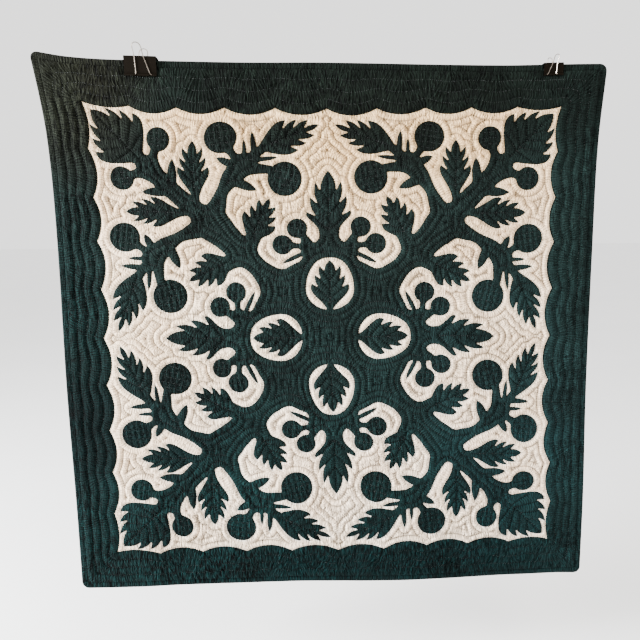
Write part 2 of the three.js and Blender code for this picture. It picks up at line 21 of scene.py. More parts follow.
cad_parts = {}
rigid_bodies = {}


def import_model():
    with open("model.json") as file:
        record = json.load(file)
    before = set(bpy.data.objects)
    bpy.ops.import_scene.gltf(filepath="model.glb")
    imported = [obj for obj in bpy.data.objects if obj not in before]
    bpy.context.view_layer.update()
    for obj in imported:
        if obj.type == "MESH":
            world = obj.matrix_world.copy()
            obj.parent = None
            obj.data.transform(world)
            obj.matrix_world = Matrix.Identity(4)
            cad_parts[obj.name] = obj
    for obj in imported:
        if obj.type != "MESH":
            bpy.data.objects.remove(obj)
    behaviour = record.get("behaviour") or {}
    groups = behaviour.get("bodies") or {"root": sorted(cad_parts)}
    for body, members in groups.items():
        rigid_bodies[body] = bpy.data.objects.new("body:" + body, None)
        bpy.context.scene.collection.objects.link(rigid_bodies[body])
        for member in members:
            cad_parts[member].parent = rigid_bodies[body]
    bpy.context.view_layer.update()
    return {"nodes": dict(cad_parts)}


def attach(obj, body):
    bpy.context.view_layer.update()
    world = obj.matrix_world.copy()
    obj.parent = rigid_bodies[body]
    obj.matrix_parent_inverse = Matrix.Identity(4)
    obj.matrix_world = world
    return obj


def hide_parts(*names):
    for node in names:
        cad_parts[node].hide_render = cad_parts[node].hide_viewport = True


LOG = logging.getLogger("quilt")
Array = np.ndarray
Material = bpy.types.Material
Object = bpy.types.Object
Pair = tuple[float, float]
Triple = tuple[float, float, float]
MM = 0.001
TINY = 1e-9
RIM_STEP = 3.0
STITCH_LINE_STEP = 0.9
EIGHTHS = 8
HALF = 457.0
CORNER_RADIUS = 13.0
TOP_MIDDLE = 452.0
CLOTH_UV = "cloth"
PUFF = "puff"
ROW_TURN = "row_turn"
EDGE_GAP = "edge_gap"
FRONT = "front"


class Region(IntEnum):
    """The parts of the quilt's face."""

    CREAM = 0
    MOTIF = 1
    BORDER = 2
    MARGIN = 3


QUILTED = (Region.CREAM, Region.MOTIF, Region.BORDER)


class Salt(IntEnum):
    """The fixed patterns of noise, by what each one shapes."""

    LUMP = 1
    FINE_LUMP = 2
    PUCKER = 3
    UNEVEN = 4
    BINDING = 6
    CRUMPLE_TURN = 8
    BINDING_PUCKER = 9
    CRUMPLE = 11


# --- Small helpers ---


def smooth_step(low: float, high: float, value: Array) -> Array:
    """Rises smoothly from 0 at low to 1 at high."""
    t = np.clip((value - low) / (high - low), 0.0, 1.0)
    return t * t * (3.0 - 2.0 * t)


def filleted_union(a: Array, b: Array, fillet: float) -> Array:
    """Joins two signed distances, with a fillet where the shapes meet.

    Args:
        a: Signed distance of one shape.
        b: Signed distance of the other.
        fillet: About the fillet's radius, in millimetres.

    Returns:
        The signed distance of both shapes together.
    """
    near = np.maximum(0.0, 1.0 - np.abs(a - b) / fillet)
    return np.minimum(a, b) - fillet / 4.0 * near * near


def hermite(keys: Array, values: Array, slopes: Array, at: Array) -> Array:
    """Reads a smooth line through values, with a given slope at each.

    Args:
        keys: The K places of the values.
        values: A row for each key and a column for each point, or one column for all.
        slopes: The slopes, laid out as the values are.
        at: Where each point reads the line.

    Returns:
        A value for each point.
    """
    low = np.clip(np.searchsorted(keys, at) - 1, 0, len(keys) - 2)
    own = np.arange(len(at)) if values.shape[1] > 1 else 0
    span = keys[low + 1] - keys[low]
    t = (at - keys[low]) / span
    start, end = values[low, own], values[low + 1, own]
    bend = slopes[low, own] * t * (1 - t) ** 2 - slopes[low + 1, own] * t * t * (1 - t)
    return start + (end - start) * t * t * (3 - 2 * t) + span * bend


def read_line(rows: Sequence[tuple], column: int, at: Array) -> Array:
    """Reads a smooth line through one column of a table.

    Args:
        rows: The table, in the order of its first column, which says where the values stand.
        column: The column that is read.
        at: Where to read it.

    Returns:
        The values there.
    """
    keys = np.array([row[0] for row in rows], float)
    values = np.array([row[column] for row in rows], float)
    before = np.maximum(np.arange(len(keys)) - 1, 0)
    after = np.minimum(np.arange(len(keys)) + 1, len(keys) - 1)
    slopes = (values[after] - values[before]) / (keys[after] - keys[before])
    return hermite(keys, values[:, None], slopes[:, None], at)


def level_line(keys: Array, values: Array, at: Array) -> Array:
    """Reads a line that never swings past its own values, so what is flat stays flat.

    Args:
        keys: The K places of the values.
        values: The values, laid out as for `hermite`.
        at: Where each point reads the line.

    Returns:
        A value for each point.
    """
    secants = np.diff(values, axis=0) / np.diff(keys)[:, None]
    product = secants[:-1] * secants[1:]
    total = secants[:-1] + secants[1:]
    slopes = np.zeros(values.shape)
    slopes[1:-1] = np.where(product > 0, 2 * product / np.where(product > 0, total, 1.0), 0.0)
    slopes[0], slopes[-1] = secants[0], secants[-1]
    return hermite(keys, values, slopes, at)


def quarter_turn(points: Array, turns: int) -> Array:
    """Turns flat points about the quilt's middle by quarter turns."""
    u, v = points[:, 0], points[:, 1]
    return np.column_stack([(u, v), (-v, u), (-u, -v), (v, -u)][turns % 4])


def eighth_copies() -> list[Array]:
    """The matrices that take the first eighth of the folded cloth to all eight."""
    flips = [np.array([[flip, 0.0], [0.0, 1.0]]) for flip in (1.0, -1.0)]
    return [quarter_turn(flip, turns) for turns in range(4) for flip in flips]


def fixed_random(cells: Array, salt: float) -> Array:
    """Fixed random numbers from 0 to 1, one for each whole cell (N, 2)."""
    mixed = np.sin(cells[:, 0] * 127.1 + cells[:, 1] * 311.7 + salt * 74.7) * 43758.5453
    return mixed - np.floor(mixed)


def value_noise(points: Array, size: float, salt: float) -> Array:
    """Smooth noise from -1 to 1 with lumps of about one size."""
    scaled = points / size
    cell = np.floor(scaled)
    t = scaled - cell
    t = t * t * (3 - 2 * t)
    total = np.zeros(len(points))
    for i in (0, 1):
        for j in (0, 1):
            weight = (t[:, 0] if i else 1 - t[:, 0]) * (t[:, 1] if j else 1 - t[:, 1])
            total += weight * fixed_random(cell + (i, j), salt)
    return total * 2 - 1


def pucker_noise(points: Array, along: Array, pitch: float, salt: float) -> Array:
    """Short ridges that cross the rows of stitches.

    Args:
        points: Flat places (N, 2).
        along: The unit direction of the row of stitches at each.
        pitch: The distance from ridge to ridge.
        salt: Picks one of many fixed patterns.

    Returns:
        Heights from about -1 to 1.
    """
    cell_size = 2.2 * pitch
    cell = np.floor(points / cell_size)
    total = np.zeros(len(points))
    for i in (-1, 0, 1):
        for j in (-1, 0, 1):
            for k in (0.0, 7.0):
                near = cell + (i, j)
                jitter = np.column_stack([fixed_random(near, salt + k + n) for n in (0.3, 1.7)])
                offset = points - (near + jitter) * cell_size
                fall = np.exp(-np.sum(offset * offset, axis=1) / (0.55 * cell_size) ** 2)
                wave = np.sum(offset * along, axis=1) * 2 * math.pi / pitch
                total += fall * np.cos(wave + 2 * math.pi * fixed_random(near, salt + k + 5.1))
    return np.clip(total / 1.6, -1.5, 1.5)


# --- The hung cloth ---


class Fold(NamedTuple):
    """How far the cloth stands forward at one place across, level by level."""

    x: float
    top: float
    grip: float
    upper: float
    lower: float
    foot: float


class Drift(NamedTuple):
    """How far the basted pattern strays from its drawn place, round one place."""

    u: float
    v: float
    right: float
    up: float


@dataclass(frozen=True)
class Pinch:
    """Where a clip's jaws squeeze the quilt."""

    x: float
    width: float
    jaw: float


@dataclass(frozen=True)
class HungCloth:
    """The square cloth as it hangs, a little out of square and in soft folds.

    Attributes:
        side_edges: Heights on the flat cloth, and where the left and right edges hang there.
        level_edges: Places across it, and where the top edge and the foot hang there.
        levels: The heights at which `folds` say how far the cloth stands forward.
    """

    side_edges: tuple[Triple, ...] = (
        *((-457, -450, 457), (-300, -452, 457), (-100, -456, 453)),
        *((150, -456, 452), (330, -460, 452), (457, -475, 461)),
    )
    level_edges: tuple[Triple, ...] = (
        *((-457, 467, -450), (-400, 459, -451), (-304, 454.6, -452), (-150, 452, -453)),
        *((0, 452, -453), (280, 447, -451), (371, 448.4, -451), (457, 450, -450)),
    )
    drifts: tuple[Drift, ...] = (
        *(Drift(-387, 350, -7, 3), Drift(-387, 235, -5, -4), Drift(-235, 375, -3, -2)),
        *(Drift(-90, 375, -3, -3), Drift(10, 387, 0, -5), Drift(-270, 337, -8, -6)),
        *(Drift(-213, 315, -17, -6), Drift(-340, 168, -2, 6), Drift(-235, 97, 4, 4)),
        *(Drift(-90, 240, -3, -5), Drift(314, 387, 0, 3), Drift(-387, -350, -5, -1)),
        *(Drift(-273, -71, 6, 2), Drift(-213, -320, -6, -6), Drift(-169, -350, 6, -11)),
        *(Drift(-300, -390, 1, -9), Drift(-50, -365, 7, -13), Drift(-85, -240, 7, 0)),
        *(Drift(-78, -162, 10, -6), Drift(50, -360, 12, -11), Drift(75, -260, 6, 0)),
        *(Drift(170, -360, 8, -3), Drift(213, -300, 11, 0), Drift(290, -380, 8, -5)),
        *(Drift(310, -213, 7, -7), Drift(387, -300, 13, 1), Drift(350, -350, 9, -2)),
        *(Drift(273, -71, 6, 0), Drift(162, -78, 4, 6), Drift(350, -30, -1, -4)),
    )
    drift_reach: float = 62.0
    drift_rest: float = 0.3
    drift_stops: Pair = (392.0, 446.0)
    levels: tuple[float, ...] = (490, 405, 175, -165, -480)
    folds: tuple[Fold, ...] = (
        Fold(-495, 15, 6, -6, -4, 4),
        Fold(-345, 0, 0, 2, 5, 1),
        Fold(-265, 0, 0, 5, 2, -3),
        Fold(-80, -5, -3, 0, -3, -5),
        Fold(140, -4, -2, 5, 4, 5),
        Fold(338, 0, 0, 1, -1, -2),
        Fold(404, 0, 0, -2, -3, -3),
        Fold(495, -6, -4, -6, -2, 5),
    )
    pinches: tuple[Pinch, ...] = (Pinch(-303.4, 51, 430.5), Pinch(368, 32, 431))
    pinch_fades: Pair = (1.0, 11.0)

    def strayed(self, flat: Array) -> Array:
        """Takes drawn places to where the pattern was basted, with the binding left in place."""
        total, weights = np.zeros(flat.shape), np.full(len(flat), self.drift_rest)
        for drift in self.drifts:
            away = np.hypot(flat[:, 0] - drift.u, flat[:, 1] - drift.v) / self.drift_reach
            weight = np.exp(-away * away)
            total += weight[:, None] * (drift.right, drift.up)
            weights += weight
        held = smooth_step(*self.drift_stops, np.abs(flat).max(axis=1))
        return flat + total * ((1 - held) / weights)[:, None]

    def spread(self, flat: Array) -> Array:
        """Takes flat places to where they hang, as x and height from the quilt's middle."""
        u, v = self.strayed(flat).T
        across, up = (u + HALF) / (2 * HALF), (v + HALF) / (2 * HALF)
        left, right = (read_line(self.side_edges, column, v) for column in (1, 2))
        top, foot = (read_line(self.level_edges, column, u) for column in (1, 2))
        return np.column_stack((left + (right - left) * across, foot + (top - foot) * up))

    def forward(self, place: Array) -> Array:
        """How far the middle of the cloth stands forward at hung places."""
        heights = np.array(self.levels[::-1])
        columns = []
        for fold in self.folds:
            stands = np.array(fold[:0:-1], float)[:, None]
            columns.append(level_line(heights, stands, place[:, 1]))
        across = np.array([fold.x for fold in self.folds], float)
        return level_line(across, np.array(columns), place[:, 0])

    def squeeze(self, place: Array) -> Array:
        """How hard the clips press the cloth flat there, from 0 to 1."""
        most = np.zeros(len(place))
        for pinch in self.pinches:
            aside = np.abs(place[:, 0] - pinch.x) - pinch.width / 2
            below = pinch.jaw - place[:, 1]
            away = np.hypot(np.maximum(aside, 0), np.maximum(below, 0))
            most = np.maximum(most, 1 - smooth_step(*self.pinch_fades, away))
        return most

    def points(self, flat: Array, lift: Array | float) -> Array:
        """Places points of the hung cloth.

        Args:
            flat: Flat places (N, 2) in millimetres.
            lift: How far forward of the middle of the thickness each point lies.

        Returns:
            Points (N, 3) in metres in the shared frame.
        """
        place = self.spread(flat)
        y = -(self.forward(place) + lift)
        return np.column_stack((place[:, 0], y, place[:, 1] - TOP_MIDDLE)) * MM


# --- The folded and cut motif ---


def polygon_distance(points: Array, loop: Array) -> Array:
    """Signed distance to a closed outline, negative inside it.

    Args:
        points: Flat places (N, 2).
        loop: The outline's corners in order (M, 2).

    Returns:
        A distance for each place, no more than a wide margin for the far ones.
    """
    margin, at_once = 24.0, 20000
    result = np.full(len(points), margin)
    low, high = loop.min(axis=0) - margin, loop.max(axis=0) + margin
    near = np.flatnonzero(np.all((points > low) & (points < high), axis=1))
    if not len(near):
        return result
    start, edge = loop, np.roll(loop, -1, axis=0) - loop
    lengths = np.maximum(np.sum(edge * edge, axis=1), TINY)
    slope = edge[:, 0] / np.where(np.abs(edge[:, 1]) < TINY, TINY, edge[:, 1])
    for part in np.array_split(near, max(1, len(near) // at_once)):
        to = points[part][:, None, :] - start[None]
        t = np.clip(np.sum(to * edge, axis=2) / lengths, 0, 1)
        away = to - t[..., None] * edge
        distance = np.sqrt(np.min(np.sum(away * away, axis=2), axis=1))
        passes = (to[..., 1] >= 0) != (to[..., 1] >= edge[:, 1])
        inside = np.sum(passes & (to[..., 0] < to[..., 1] * slope), axis=1) % 2 == 1
        result[part] = np.minimum(np.where(inside, -distance, distance), margin)
    return result


def mirrored(points: Array, distance: Callable[[Array], Array], on_fold: bool) -> Array:
    """A shape's distance together with its mirror images across the two folds.

    Args:
        points: Flat places in the first eighth.
        distance: The shape's own signed distance.
        on_fold: Whether the shape lies on a fold, and so is its own mirror image.

    Returns:
        The distance to the nearest of the images.
    """
    whole = distance(points)
    if not on_fold:
        whole = np.minimum(whole, distance(points[:, ::-1]))
        whole = np.minimum(whole, distance(points * (-1, 1)))
    return whole


def bowed(start: Array, end: Array, bulge: float, parts: int) -> list[Array]:
    """Points from start up to, but not at, end, on a line that bows out to its right."""
    step = end - start
    side = np.array([step[1], -step[0]])
    return [start + step * t + side * bulge * 4 * t * (1 - t) for t in np.arange(parts) / parts]


SLOT_END = 2.0
SLOT_DIP = 0.6
LOBE_BULGE = 0.1
FLANK_PARTS = 12
TOOTH_PARTS = 7
FLANK_TURN = 0.62 * math.pi


@dataclass(frozen=True)
class Leaf:
    """A leaf drawn along its vein, with hooked teeth that point towards its tip."""

    name: str
    base: Pair
    tip: Pair
    half: float
    teeth: int
    curve: float
    first_tooth: float
    last_tooth: float
    slot: float
    slant: float
    last_slant: float
    sweep: float
    base_width: float = 0.1
    on_fold: bool = False

    def placed(self, along: Array, wide: Array) -> Array:
        """Flat places from shares of the way along the vein and of the half width."""
        base, way = np.array(self.base), np.subtract(self.tip, self.base)
        side = np.array([way[1], -way[0]]) / np.hypot(*way) * self.half
        return base + np.multiply.outer(along, way) + np.multiply.outer(wide, side)

    def along(self, points: Array) -> Array:
        """The share of the way along the vein at which each point lies."""
        way = np.subtract(self.tip, self.base)
        return (points - np.array(self.base)) @ way / np.hypot(*way) ** 2

    def tooth_tips(self) -> list[Pair]:
        """Each tooth's place along the vein and its share of the half width."""
        tips = []
        for tooth in range(self.teeth):
            share = tooth / (self.teeth - 1)
            along = self.first_tooth + share * (self.last_tooth - self.first_tooth)
            tips.append((along, ((1 - along) / (1 - self.first_tooth)) ** self.curve))
        return tips

    def outline(self) -> Array:
        """The leaf's outline on the flat cloth, with a narrow slot behind each tooth."""
        side = []
        for part in range(FLANK_PARTS):
            t = part / FLANK_PARTS
            swell = math.sin(FLANK_TURN * t**self.sweep) / math.sin(FLANK_TURN)
            wide = self.base_width + (1 - self.base_width) * swell
            side.append(np.array([t * self.first_tooth, wide]))
        tips = [np.array(tip) for tip in self.tooth_tips()] + [np.array([1.0, 0.0])]
        stretch = np.array([np.hypot(*np.subtract(self.tip, self.base)), self.half])
        slants = self.last_slant - self.slant
        for tooth, (tip, following) in enumerate(zip(tips[:-1], tips[1:])):
            turn = math.radians(self.slant + slants * tooth / (self.teeth - 1))
            way = np.array([math.cos(turn), math.sin(turn)])
            across = np.array([math.sin(turn), -math.cos(turn)])
            inner = tip * stretch - self.slot * way
            inner[1] = max(inner[1], 0.25 * tip[1] * self.half)
            side += [
                tip,
                (inner + SLOT_DIP * way) / stretch,
                (inner + SLOT_END * (0.5 * across - 0.2 * way)) / stretch,
            ]
            end = inner + SLOT_END * across + SLOT_DIP * way
            lobe = bowed(end, following * stretch, -LOBE_BULGE, TOOTH_PARTS)
            side += [point / stretch for point in lobe]
        along, wide = np.array(side).T
        right = self.placed(along, wide)
        left = self.placed(along, -wide)[::-1]
        return np.vstack((right, [self.tip], left))

    def veins(self) -> Array:
        """The centre vein and a side vein to each tooth, as segments (S, 2, 2)."""
        ends = [((0.04, 0.0), (0.95, 0.0))]
        start = max(0.1, self.first_tooth - 0.34)
        ends += [((start, side * 0.04), (0.3, side * 0.8)) for side in (-1, 1)]
        for along, wide in self.tooth_tips():
            root = along - 0.27
            for side in (-1, 1):
                ends.append(((root, side * 0.03), (along - 0.05, side * wide * 0.8)))
        flat = np.array(ends)
        return self.placed(flat[..., 0].ravel(), flat[..., 1].ravel()).reshape(-1, 2, 2)


@dataclass(frozen=True)
class Fruit:
    """A round breadfruit."""

    name: str
    u: float
    v: float
    radius: float
    hatch_turn: float = 0.0

    def distance(self, points: Array) -> Array:
        """Signed distance to the fruit's edge, negative inside it."""
        return np.hypot(points[:, 0] - self.u, points[:, 1] - self.v) - self.radius


@dataclass(frozen=True)
class Stem:
    """A stem that runs through rows of u, v and half its width."""

    name: str
    rows: tuple[Triple, ...]
    on_fold: bool = False

    def outline(self) -> Array:
        """The stem's outline, with smooth edges."""
        rows = np.array(self.rows)
        steps = np.hypot(*np.diff(rows[:, :2], axis=0).T)
        way = np.concatenate(([0.0], np.cumsum(steps)))
        table = [(w, *row) for w, row in zip(way, rows)]
        at = np.linspace(0, way[-1], max(6, int(way[-1] / 4)))
        u, v, half = (read_line(table, column, at) for column in (1, 2, 3))
        across = np.column_stack((np.gradient(v), -np.gradient(u)))
        across *= (half / np.hypot(*across.T))[:, None]
        middle = np.column_stack((u, v))
        return np.vstack((middle + across, (middle - across)[::-1]))


@dataclass(frozen=True)
class Sprig:
    """A blade, bud or thorn that narrows from its middle to its tip."""

    name: str
    base: Pair
    tip: Pair
    half: float

    def outline(self) -> Array:
        """The sprig's outline on the flat cloth."""
        t = np.linspace(0, 1, 12)
        width = self.half * (0.8 + 0.35 * t) * (1 - t**3) ** 0.9
        base, way = np.array(self.base), np.subtract(self.tip, self.base)
        side = np.array([way[1], -way[0]]) / np.hypot(*way)
        middle, reach = base + np.multiply.outer(t, way), np.multiply.outer(width, side)
        return np.vstack((middle + reach, (middle - reach)[::-1]))


@dataclass(frozen=True)
class BreadfruitCut:
    """One eighth of the motif, from the upright fold to the diagonal one."""

    leaves: tuple[Leaf, ...] = (
        Leaf("window", (0, 42), (0, 133), 31, 3, 0.4, 0.56, 0.895, 10.5, 60, 42, 1.6, 0.08, True),
        Leaf("upright", (0, 173), (0, 284), 36, 3, 0.42, 0.4, 0.84, 15, 62, 26, 2.5, 0.42, True),
        Leaf("corner", (298, 298), (375, 375), 47, 3, 0.7, 0.58, 0.88, 13, 46, 14, 1.2, 0, True),
        Leaf("side", (133, 169), (97, 241), 28, 3, 0.4, 0.53, 0.9, 12, 66, 50, 1.4, 0.25),
        Leaf("outer", (113, 321), (13, 361), 26, 3, 0.54, 0.56, 0.876, 13.5, 46, 38, 1.15, 0.1),
        Leaf("middle", (213.5, 236), (213.5, 335), 25, 3, 0.3, 0.58, 0.89, 12, 55, 42, 1.8, 0.2),
    )
    fruits: tuple[Fruit, ...] = (
        Fruit("low", 53, 190, 17, 0.2),
        Fruit("bay", 78.5, 162, 17.3, -0.1),
        Fruit("side", 71, 273, 28, 0.25),
        Fruit("top", 169, 340.5, 25, -0.15),
        Fruit("corner", 270.5, 337, 19.3, 0.1),
    )
    stems: tuple[Stem, ...] = (
        Stem(
            "trunk",
            (
                *((78, 78, 26), (97, 97, 26.5), (109, 109, 21), (123, 123, 17), (138, 138, 20)),
                *((154, 154, 23), (175, 175, 26), (191, 191, 30), (212, 212, 20), (242, 242, 17)),
                *((273, 273, 16), (308, 308, 12)),
            ),
            True,
        ),
        Stem(
            "branch",
            (
                *((198, 200, 17), (183, 226, 14), (171, 252, 9)),
                *((155, 276, 14), (143, 289, 15), (128, 306, 12)),
            ),
        ),
        Stem("upright leaf", ((0, 140, 29), (0, 161, 25), (0, 172, 17), (0, 186, 16)), True),
        Stem("side leaf", ((142, 144, 13), (125, 178, 12))),
        Stem("low fruit", ((32, 138, 14), (35, 159, 9.5), (45, 179, 5.5))),
        Stem("bay fruit", ((38, 152, 7), (50, 158.5, 4.5), (66, 160.5, 6))),
        Stem("side fruit", ((142, 292, 12), (92, 288.3, 6.2))),
        Stem("top fruit", ((138, 296, 8), (149, 311, 5.5), (159, 326, 8))),
        Stem("corner fruit", ((283, 292, 14.5), (279.5, 311, 7.5), (275, 324, 7))),
        Stem("outer leaf", ((136, 301, 8), (105, 321, 6.3))),
    )
    sprigs: tuple[Sprig, ...] = (
        Sprig("bay bud", (44, 146.5), (80.5, 129), 4.2),
        Sprig("tall blade", (118, 310), (121, 350), 5.2),
        Sprig("short blade", (133, 308), (133.5, 337), 3.5),
        Sprig("low blade", (120, 303.5), (81, 308), 4),
        Sprig("branch thorn", (158, 272), (118, 255), 9),
        Sprig("top thorn", (150, 296), (174, 308), 7),
        Sprig("trunk thorn", (251, 258), (248, 306), 9),
    )
    hub_radius: float = 141.5
    window_middle: float = 84.0
    window_half_wide: float = 41.0
    window_above: float = 56.0
    window_below: float = 36.0
    window_corners: int = 72
    fillet: float = 3.0
    stem_fillet: float = 9.0

    def window(self) -> Array:
        """The outline of the window in the motif's middle."""
        angles = np.linspace(0, 2 * math.pi, self.window_corners, endpoint=False)
        high = np.where(angles < math.pi, self.window_above, self.window_below)
        up = self.window_middle + high * np.sin(angles)
        return np.column_stack((self.window_half_wide * np.cos(angles), up))

    def distance(self, points: Array) -> Array:
        """Signed distance to the cut's edge over the first eighth, negative in the motif."""
        hub = np.hypot(*points.T) - self.hub_radius
        whole = np.maximum(hub, -polygon_distance(points, self.window()))
        shapes = [(stem.outline(), stem.on_fold, self.stem_fillet) for stem in self.stems]
        shapes += [(leaf.outline(), leaf.on_fold, self.fillet) for leaf in self.leaves]
        shapes += [(sprig.outline(), False, self.fillet) for sprig in self.sprigs]
        for outline, on_fold, fillet in shapes:
            one = mirrored(points, partial(polygon_distance, loop=outline), on_fold)
            whole = filleted_union(whole, one, fillet)
        for fruit in self.fruits:
            whole = filleted_union(whole, mirrored(points, fruit.distance, False), self.fillet)
        return whole


class Scallop(NamedTuple):
    """One scallop of the border's inner edge, along half a side."""

    start: float
    end: float
    depth: float


@dataclass(frozen=True)
class BorderEdge:
    """The border's scalloped inner edge, from the middle of a side to the corner."""

    line: float = 387.0
    scallops: tuple[Scallop, ...] = (
        Scallop(0, 82, 11),
        Scallop(82, 162, 11),
        Scallop(162, 238, 10),
        Scallop(238, 314, 10),
        Scallop(314, 387, 6),
    )

    def height(self, u: Array) -> Array:
        """The edge's height over each place across."""
        height = np.full(len(u), self.line)
        for start, end, depth in self.scallops:
            t = (u - start) / (end - start)
            height = np.where((t >= 0) & (t <= 1), self.line - 4 * depth * t * (1 - t), height)
        return height

    def points(self, step: float) -> Array:
        """The edge in the first eighth, with a point at each cusp."""
        across = [
            np.linspace(s.start, s.end, max(2, round((s.end - s.start) / step)), endpoint=False)
            for s in self.scallops
        ]
        u = np.concatenate((*across, [self.scallops[-1].end]))
        return np.column_stack((u, self.height(u)))


def inset_edge(inset: float, step: float) -> Array:
    """The quilt's outline in the first eighth, drawn in from its edge."""
    reach, radius = HALF - inset, CORNER_RADIUS - inset
    centre = HALF - CORNER_RADIUS
    u = np.linspace(0, centre, round(centre / step) + 1)
    straight = np.column_stack((u, np.full(len(u), reach)))
    angles = np.radians([78, 67, 56, 45] if radius > 4 else [45])
    arc = centre + radius * np.column_stack((np.cos(angles), np.sin(angles)))
    arc[-1] = arc[-1].mean()
    return np.vstack((straight, arc))


# --- Flat patterns: outlines, rows and triangles ---


def crossings(points: Array, faces: Array, values: Array, level: float) -> tuple[Array, Array]:
    """Draws the line where a field passes a level, through a mesh of triangles.

    Args:
        points: The mesh's flat points (N, 2).
        faces: Its triangles (T, 3).
        values: The field at each point.
        level: The level to draw.

    Returns:
        The line's points, and the pairs of them that are joined.
    """
    above = values > level
    mixed = faces[(above[faces].sum(axis=1) % 3) > 0]
    pairs = np.stack((mixed, np.roll(mixed, -1, axis=1)), axis=2).reshape(-1, 2)
    pairs = pairs[above[pairs[:, 0]] != above[pairs[:, 1]]]
    if not len(pairs):
        return np.zeros((0, 2)), np.zeros((0, 2), int)
    pairs.sort(axis=1)
    keys = pairs[:, 0].astype(np.int64) * len(points) + pairs[:, 1]
    keys, index = np.unique(keys, return_inverse=True)
    a, b = keys // len(points), keys % len(points)
    t = np.clip((level - values[a]) / (values[b] - values[a]), 0.02, 0.98)[:, None]
    return points[a] * (1 - t) + points[b] * t, index.reshape(-1, 2)


def chained(segments: Array) -> list[list[int]]:
    """Links pairs of point numbers into lines, closed ones ending where they start."""
    joined: dict[int, list[int]] = {}
    for a, b in segments.tolist():
        joined.setdefault(a, []).append(b)
        joined.setdefault(b, []).append(a)
    ends = [point for point, near in joined.items() if len(near) == 1]
    lines, used = [], set()
    for start in ends + list(joined):
        if start in used:
            continue
        line, here, before = [start], start, None
        used.add(start)
        while True:
            closes = len(line) > 2
            onward = [
                point
                for point in joined[here]
                if point != before and (point not in used or point == start and closes)
            ]
            if not onward:
                break
            before, here = here, onward[0]
            line.append(here)
            if here == start:
                break
            used.add(here)
        if len(line) > 2:
            lines.append(line)
    return lines


def simplified(line: Array, tolerance: float, longest: float) -> Array:
    """Drops points that a line hardly needs.

    Args:
        line: The line's points in order.
        tolerance: How far a dropped point may be from the new line.
        longest: The longest step that may be left.

    Returns:
        The points that stay, the first and last among them.
    """
    kept, here, last = [0], 0, len(line) - 1
    while here < last:
        best = here + 1
        for end in range(here + 2, last + 1):
            step = line[end] - line[here]
            length = np.hypot(*step)
            if length > longest:
                break
            between = line[here + 1 : end] - line[here]
            area = np.abs(between[:, 0] * step[1] - between[:, 1] * step[0])
            if (area / max(length, 1e-6)).max() > tolerance:
                break
            best = end
        kept.append(best)
        here = best
    return line[kept]


def to_segments(lines: Iterable[Array]) -> Array:
    """The straight pieces (S, 2, 2) of several lines."""
    return np.concatenate([np.stack((line[:-1], line[1:]), axis=1) for line in lines])


def nearest(points: Array, segments: Array) -> tuple[Array, Array]:
    """Distance to the nearest of many segments, and the unit direction away from it.

    Args:
        points: Flat places (N, 2).
        segments: Straight pieces (S, 2, 2).

    Returns:
        The distances (N,) and directions (N, 2).
    """
    distance, direction = np.full(len(points), 1e9), np.zeros((len(points), 2))
    if not len(points):
        return distance, direction
    tile, on_line = 24.0, 0.02
    cells = np.floor(points / tile).astype(int)
    _, index = np.unique(cells[:, 0] * 1000 + cells[:, 1], return_inverse=True)
    order = np.argsort(index, kind="stable")
    middles = segments.mean(axis=1)
    reach = np.hypot(*(segments[:, 1] - segments[:, 0]).T).max() + tile * 1.5
    for part in np.split(order, np.cumsum(np.bincount(index))[:-1]):
        centre = points[part].mean(axis=0)
        away = np.hypot(*(middles - centre).T)
        near = segments[away < away.min() + reach]
        edge = near[:, 1] - near[:, 0]
        to = points[part][:, None, :] - near[None, :, 0]
        lengths = np.maximum(np.sum(edge * edge, axis=1), TINY)
        t = np.clip(np.sum(to * edge, axis=2) / lengths, 0, 1)
        off = to - t[..., None] * edge
        squared = np.sum(off * off, axis=2)
        best = squared.argmin(axis=1)
        one = np.arange(len(part))
        distance[part] = np.sqrt(squared[one, best])
        across = np.column_stack((-edge[best, 1], edge[best, 0]))
        chosen = np.where(distance[part][:, None] > on_line, off[one, best], across)
        direction[part] = chosen / np.maximum(np.hypot(*chosen.T), TINY)[:, None]
    return distance, direction


class PointBed:
    """Points laid over the first eighth of the flat cloth, each with room round it."""

    CELL = 0.25
    PAD = 40

    def __init__(self) -> None:
        """Starts with no points."""
        self.count = int(HALF / self.CELL) + 2 * self.PAD + 4
        self.laid: list[Pair] = []
        self.edges: list[tuple[int, int]] = []

    def cell(self, point: Sequence[float]) -> tuple[int, int]:
        """The raster cell of a flat point."""
        return int(point[0] / self.CELL) + self.PAD, int(point[1] / self.CELL) + self.PAD

    def line(self, points: Array) -> None:
        """Lays a line whose every point and step has to be there."""
        known = {(round(u, 4), round(v, 4)): i for i, (u, v) in enumerate(self.laid)}
        before = None
        for u, v in points.tolist():
            key = (round(u, 4), round(v, 4))
            if key not in known:
                known[key] = len(self.laid)
                self.laid.append((u, v))
            here = known[key]
            if before is not None and before != here:
                self.edges.append((before, here))
            before = here

    def lay(self, candidates: Array, room: float) -> None:
        """Lays those candidates that are no nearer than room to any point laid before."""
        reach = min(int(room / self.CELL), self.PAD - 2)
        offsets = np.arange(-reach, reach + 1)
        disc = offsets[:, None] ** 2 + offsets[None, :] ** 2 <= reach * reach
        taken = np.zeros((self.count, self.count), bool)

        def stamp(point: Sequence[float]) -> None:
            """Marks the room round a point as taken."""
            i, j = self.cell(point)
            taken[i - reach : i + reach + 1, j - reach : j + reach + 1] |= disc

        for point in self.laid:
            stamp(point)
        for point in candidates.tolist():
            if not taken[self.cell(point)]:
                stamp(point)
                self.laid.append(tuple(point))

    def close(self) -> None:
        """Ties the points that lie on the two folds into the edges of the eighth."""
        points = np.array(self.laid)
        for on_fold in (points[:, 0] == 0, points[:, 0] == points[:, 1]):
            index = np.flatnonzero(on_fold)
            index = index[np.argsort(points[index, 1])]
            self.edges += list(zip(index[:-1].tolist(), index[1:].tolist()))


